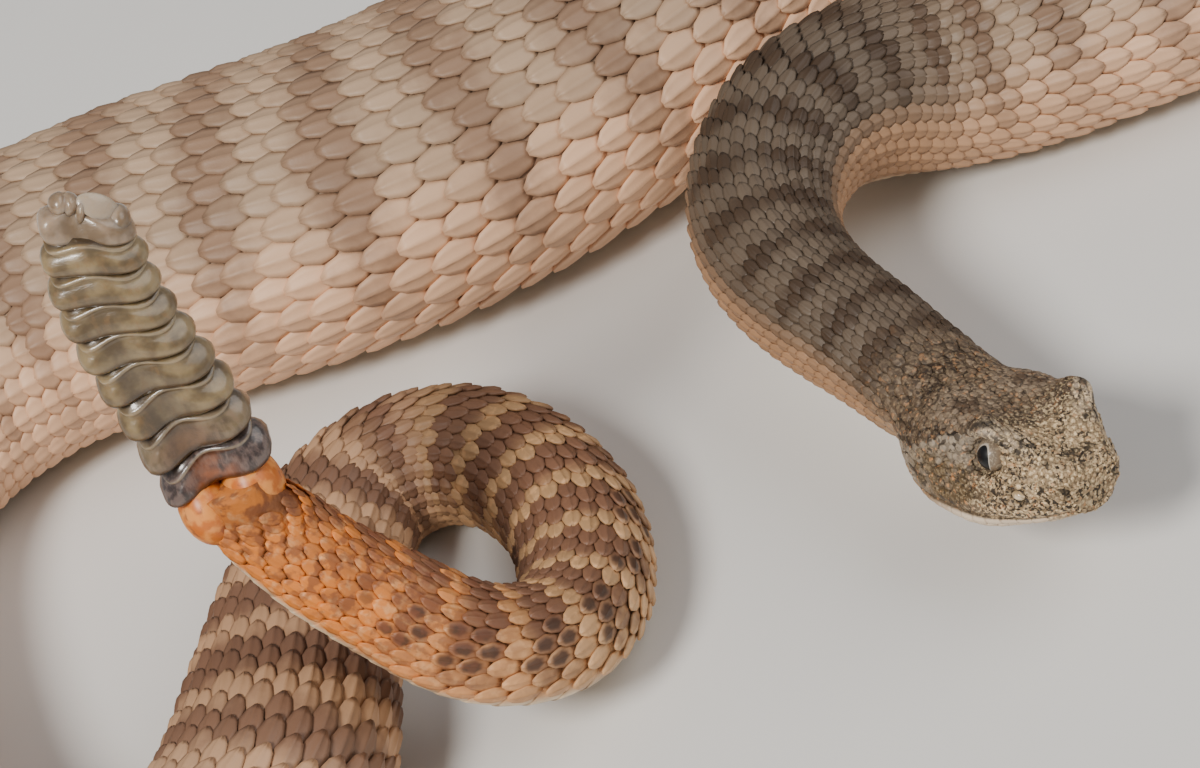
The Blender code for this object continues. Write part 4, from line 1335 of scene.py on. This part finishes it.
def rattle_shell(foot, pitch, half_wide, flatness, lobes, groove_turn, profile):
    """One ring or bulb of horn, from its foot up: its points and faces, with each point's height and groove.
    """
    phase = chance.normal(0.0, 0.22)
    loose = chance.normal(0, 0.010, 2)
    points, rises, middles = [], [], []
    turns = np.arange(ROUND_SIDES) * 2 * math.pi / ROUND_SIDES
    for height, swell, groove, wave in profile:
        across_face = np.cos(turns + groove_turn) - 0.06 * np.sign(np.sin(turns))
        furrow = np.exp(-((across_face / GROOVE_WIDTH) ** 2))
        dip = 1 - groove * lobes * furrow
        shoulder = 1 + (0.05 + 0.08 * lobes) * np.sin(2 * turns) ** 2
        sway = wave * (0.75 * np.sin(4 * turns + 0.7 * math.pi + phase) + 0.45 * np.cos(turns))
        centre, wide_way, onward = up_rattle(foot + height * pitch)
        onward = units(onward + loose[0] * wide_way + loose[1] * thin_way)
        wide = half_wide * swell * np.cos(turns) * shoulder
        thin = flatness * half_wide * swell * np.sin(turns) * dip * shoulder
        lift = sway * pitch
        moves = np.stack([lift, wide, thin], axis=1)
        points.append(centre + moves @ np.array((onward, wide_way, thin_way)))
        rises.append(np.full(ROUND_SIDES, max(0.0, min(1.0, height))))
        middles.append(furrow)
    points, faces = closed_tube(np.concatenate(points), ROUND_SIDES)
    return points, faces, np.concatenate(rises + [[0.0, 1.0]]), np.concatenate(middles + [[0.5, 0.5]])


for ring in range(RINGS):
    along = ring / (RINGS - 1)
    half_wide = 0.5 * (RATTLE_BASE + (RATTLE_TOP - RATTLE_BASE) * along**2.2)
    later = max(0, ring - 1)
    pitch = NEXT_RING - RING_CLOSING * later
    foot = SECOND_FOOT + NEXT_RING * later - RING_CLOSING * later * (later - 1) / 2
    if ring == 0:
        foot = FIRST_FOOT
    points, faces, rises, middles = rattle_shell(
        foot, pitch, half_wide, RATTLE_FLATNESS, 1.0 - 0.68 * along, 0.06 + 0.58 * along**1.2, PROFILE
    )
    shell = mesh_piece(f"rattle_ring_{ring + 1}", points, faces, horn)
    store(shell.data, "ring", np.full(len(points), ring / RINGS))
    store(shell.data, "rise", rises)
    store(shell.data, "middle", middles)
    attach(shell, "root")
    "new_rattle_horn" if ring == 0 else "rattle_horn"
    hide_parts(f"rattle_{ring + 1}")

# The worn tip: a bulb with a crease down its middle, a knob and a curled leaf on top of it.
TIP_MIDDLE = 39.5
TIP_PROFILE = [
    (0.16, 0.62, 0.10, 0.0), (0.02, 0.76, 0.16, 0.0), (-0.02, 0.86, 0.26, 0.02), (0.06, 0.95, 0.36, 0.03),
    (0.22, 1.00, 0.44, 0.04), (0.45, 1.01, 0.52, 0.05), (0.66, 0.98, 0.58, 0.06), (0.84, 0.90, 0.60, 0.06),
    (0.96, 0.76, 0.60, 0.05), (1.02, 0.56, 0.50, 0.03), (1.03, 0.30, 0.30, 0.0),
]
tip_middle, tip_wide, tip_onward = up_rattle(TIP_MIDDLE)
points, faces, rises, middles = rattle_shell(TIP_MIDDLE - 2.2, 3.5, 5.7, 0.60, 1.0, 0.22, TIP_PROFILE)
tip_ways = (tip_wide, -thin_way, tip_onward)
leaf_long = units(tip_wide - 0.42 * tip_onward)
leaf_out = units(tip_onward * 0.55 - thin_way)
leaf_out = units(leaf_out - leaf_long * np.dot(leaf_out, leaf_long))
leaf_ways = (leaf_long, np.cross(leaf_out, leaf_long), leaf_out)
# Each lump: how far along, across and up the tip, half sizes, ways, bend and notch. The leaf is last.
tip_lumps = [(points, faces)]
for along, out, up, radii, ways, bend, notch in (
    (-2.6, 0.0, 2.0, (1.9, 1.8, 1.6), tip_ways, 0.10, 0.34),
    (0.9, 0.5, 1.6, (2.6, 1.5, 1.2), tip_ways, 0.0, 0.0),
    (-0.7, -1.0, 1.4, (0.6, 1.1, 1.5), tip_ways, 0.0, 0.0),
    (3.9, -0.4, 0.4, (1.5, 2.3, 1.8), tip_ways, 0.0, 0.0),
    (1.5, -1.35, 2.25, (2.9, 1.55, 0.40), leaf_ways, -0.20, 0.0),
):
    middle = tip_middle + tip_wide * along + thin_way * out + tip_onward * up
    tip_lumps.append(lobe(middle, radii, ways, bend, notch))
added = sum(len(lump) for lump, _ in tip_lumps[1:])
tip = mesh_piece("rattle_tip", *joined(tip_lumps), horn)
worn = np.ones(len(points) + added)
worn[-len(tip_lumps[-1][0]):] = 1.1
store(tip.data, "ring", worn)
store(tip.data, "rise", np.concatenate([np.clip(rises, 0.0, 0.5), np.full(added, 0.45)]))
store(tip.data, "middle", np.concatenate([middles, np.full(added, 0.5)]))
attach(tip, "root")
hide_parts("rattle_9")


# Root of the rattle
# Two smooth orange cushions of living skin, which make each new ring of horn and hold the first.
cushion, start, feed = finish_of(
    "rattle_root", Roughness=0.38,
    Subsurface_Weight=0.2, Subsurface_Scale=0.002, Subsurface_Radius=(1.0, 0.5, 0.2),
)
patchy = start.cloud(2.0, 3.0).rise(0.42, 0.62)
colour = patchy.between(tone(196, 106, 36), tone(224, 146, 72))
dusk = start.cloud(1.1, 2.0, shift=6.0).rise(0.60, 0.74)
colour = (dusk * 0.6).between(colour, tone(120, 66, 44))
feed(Base_Color=colour)
foot_ways = (level_wide, -thin_way, RATTLE_AXIS)
under = rattle_foot - RATTLE_AXIS * 2.7
lumps = [
    lobe(under - level_wide * 3.1, (3.5, 4.9, 4.9), foot_ways),
    lobe(under + level_wide * 3.3, (3.9, 5.2, 5.4), foot_ways),
]
root = mesh_piece("rattle_root", *joined(lumps), cushion)
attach(root, "root")


# Sizes kept
# The box of the solids and the box of the pieces, in metres.
bpy.context.view_layer.update()
sizes = {"cad": [list(corner) for corner in cad_box], "visual": [list(corner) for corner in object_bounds()]}
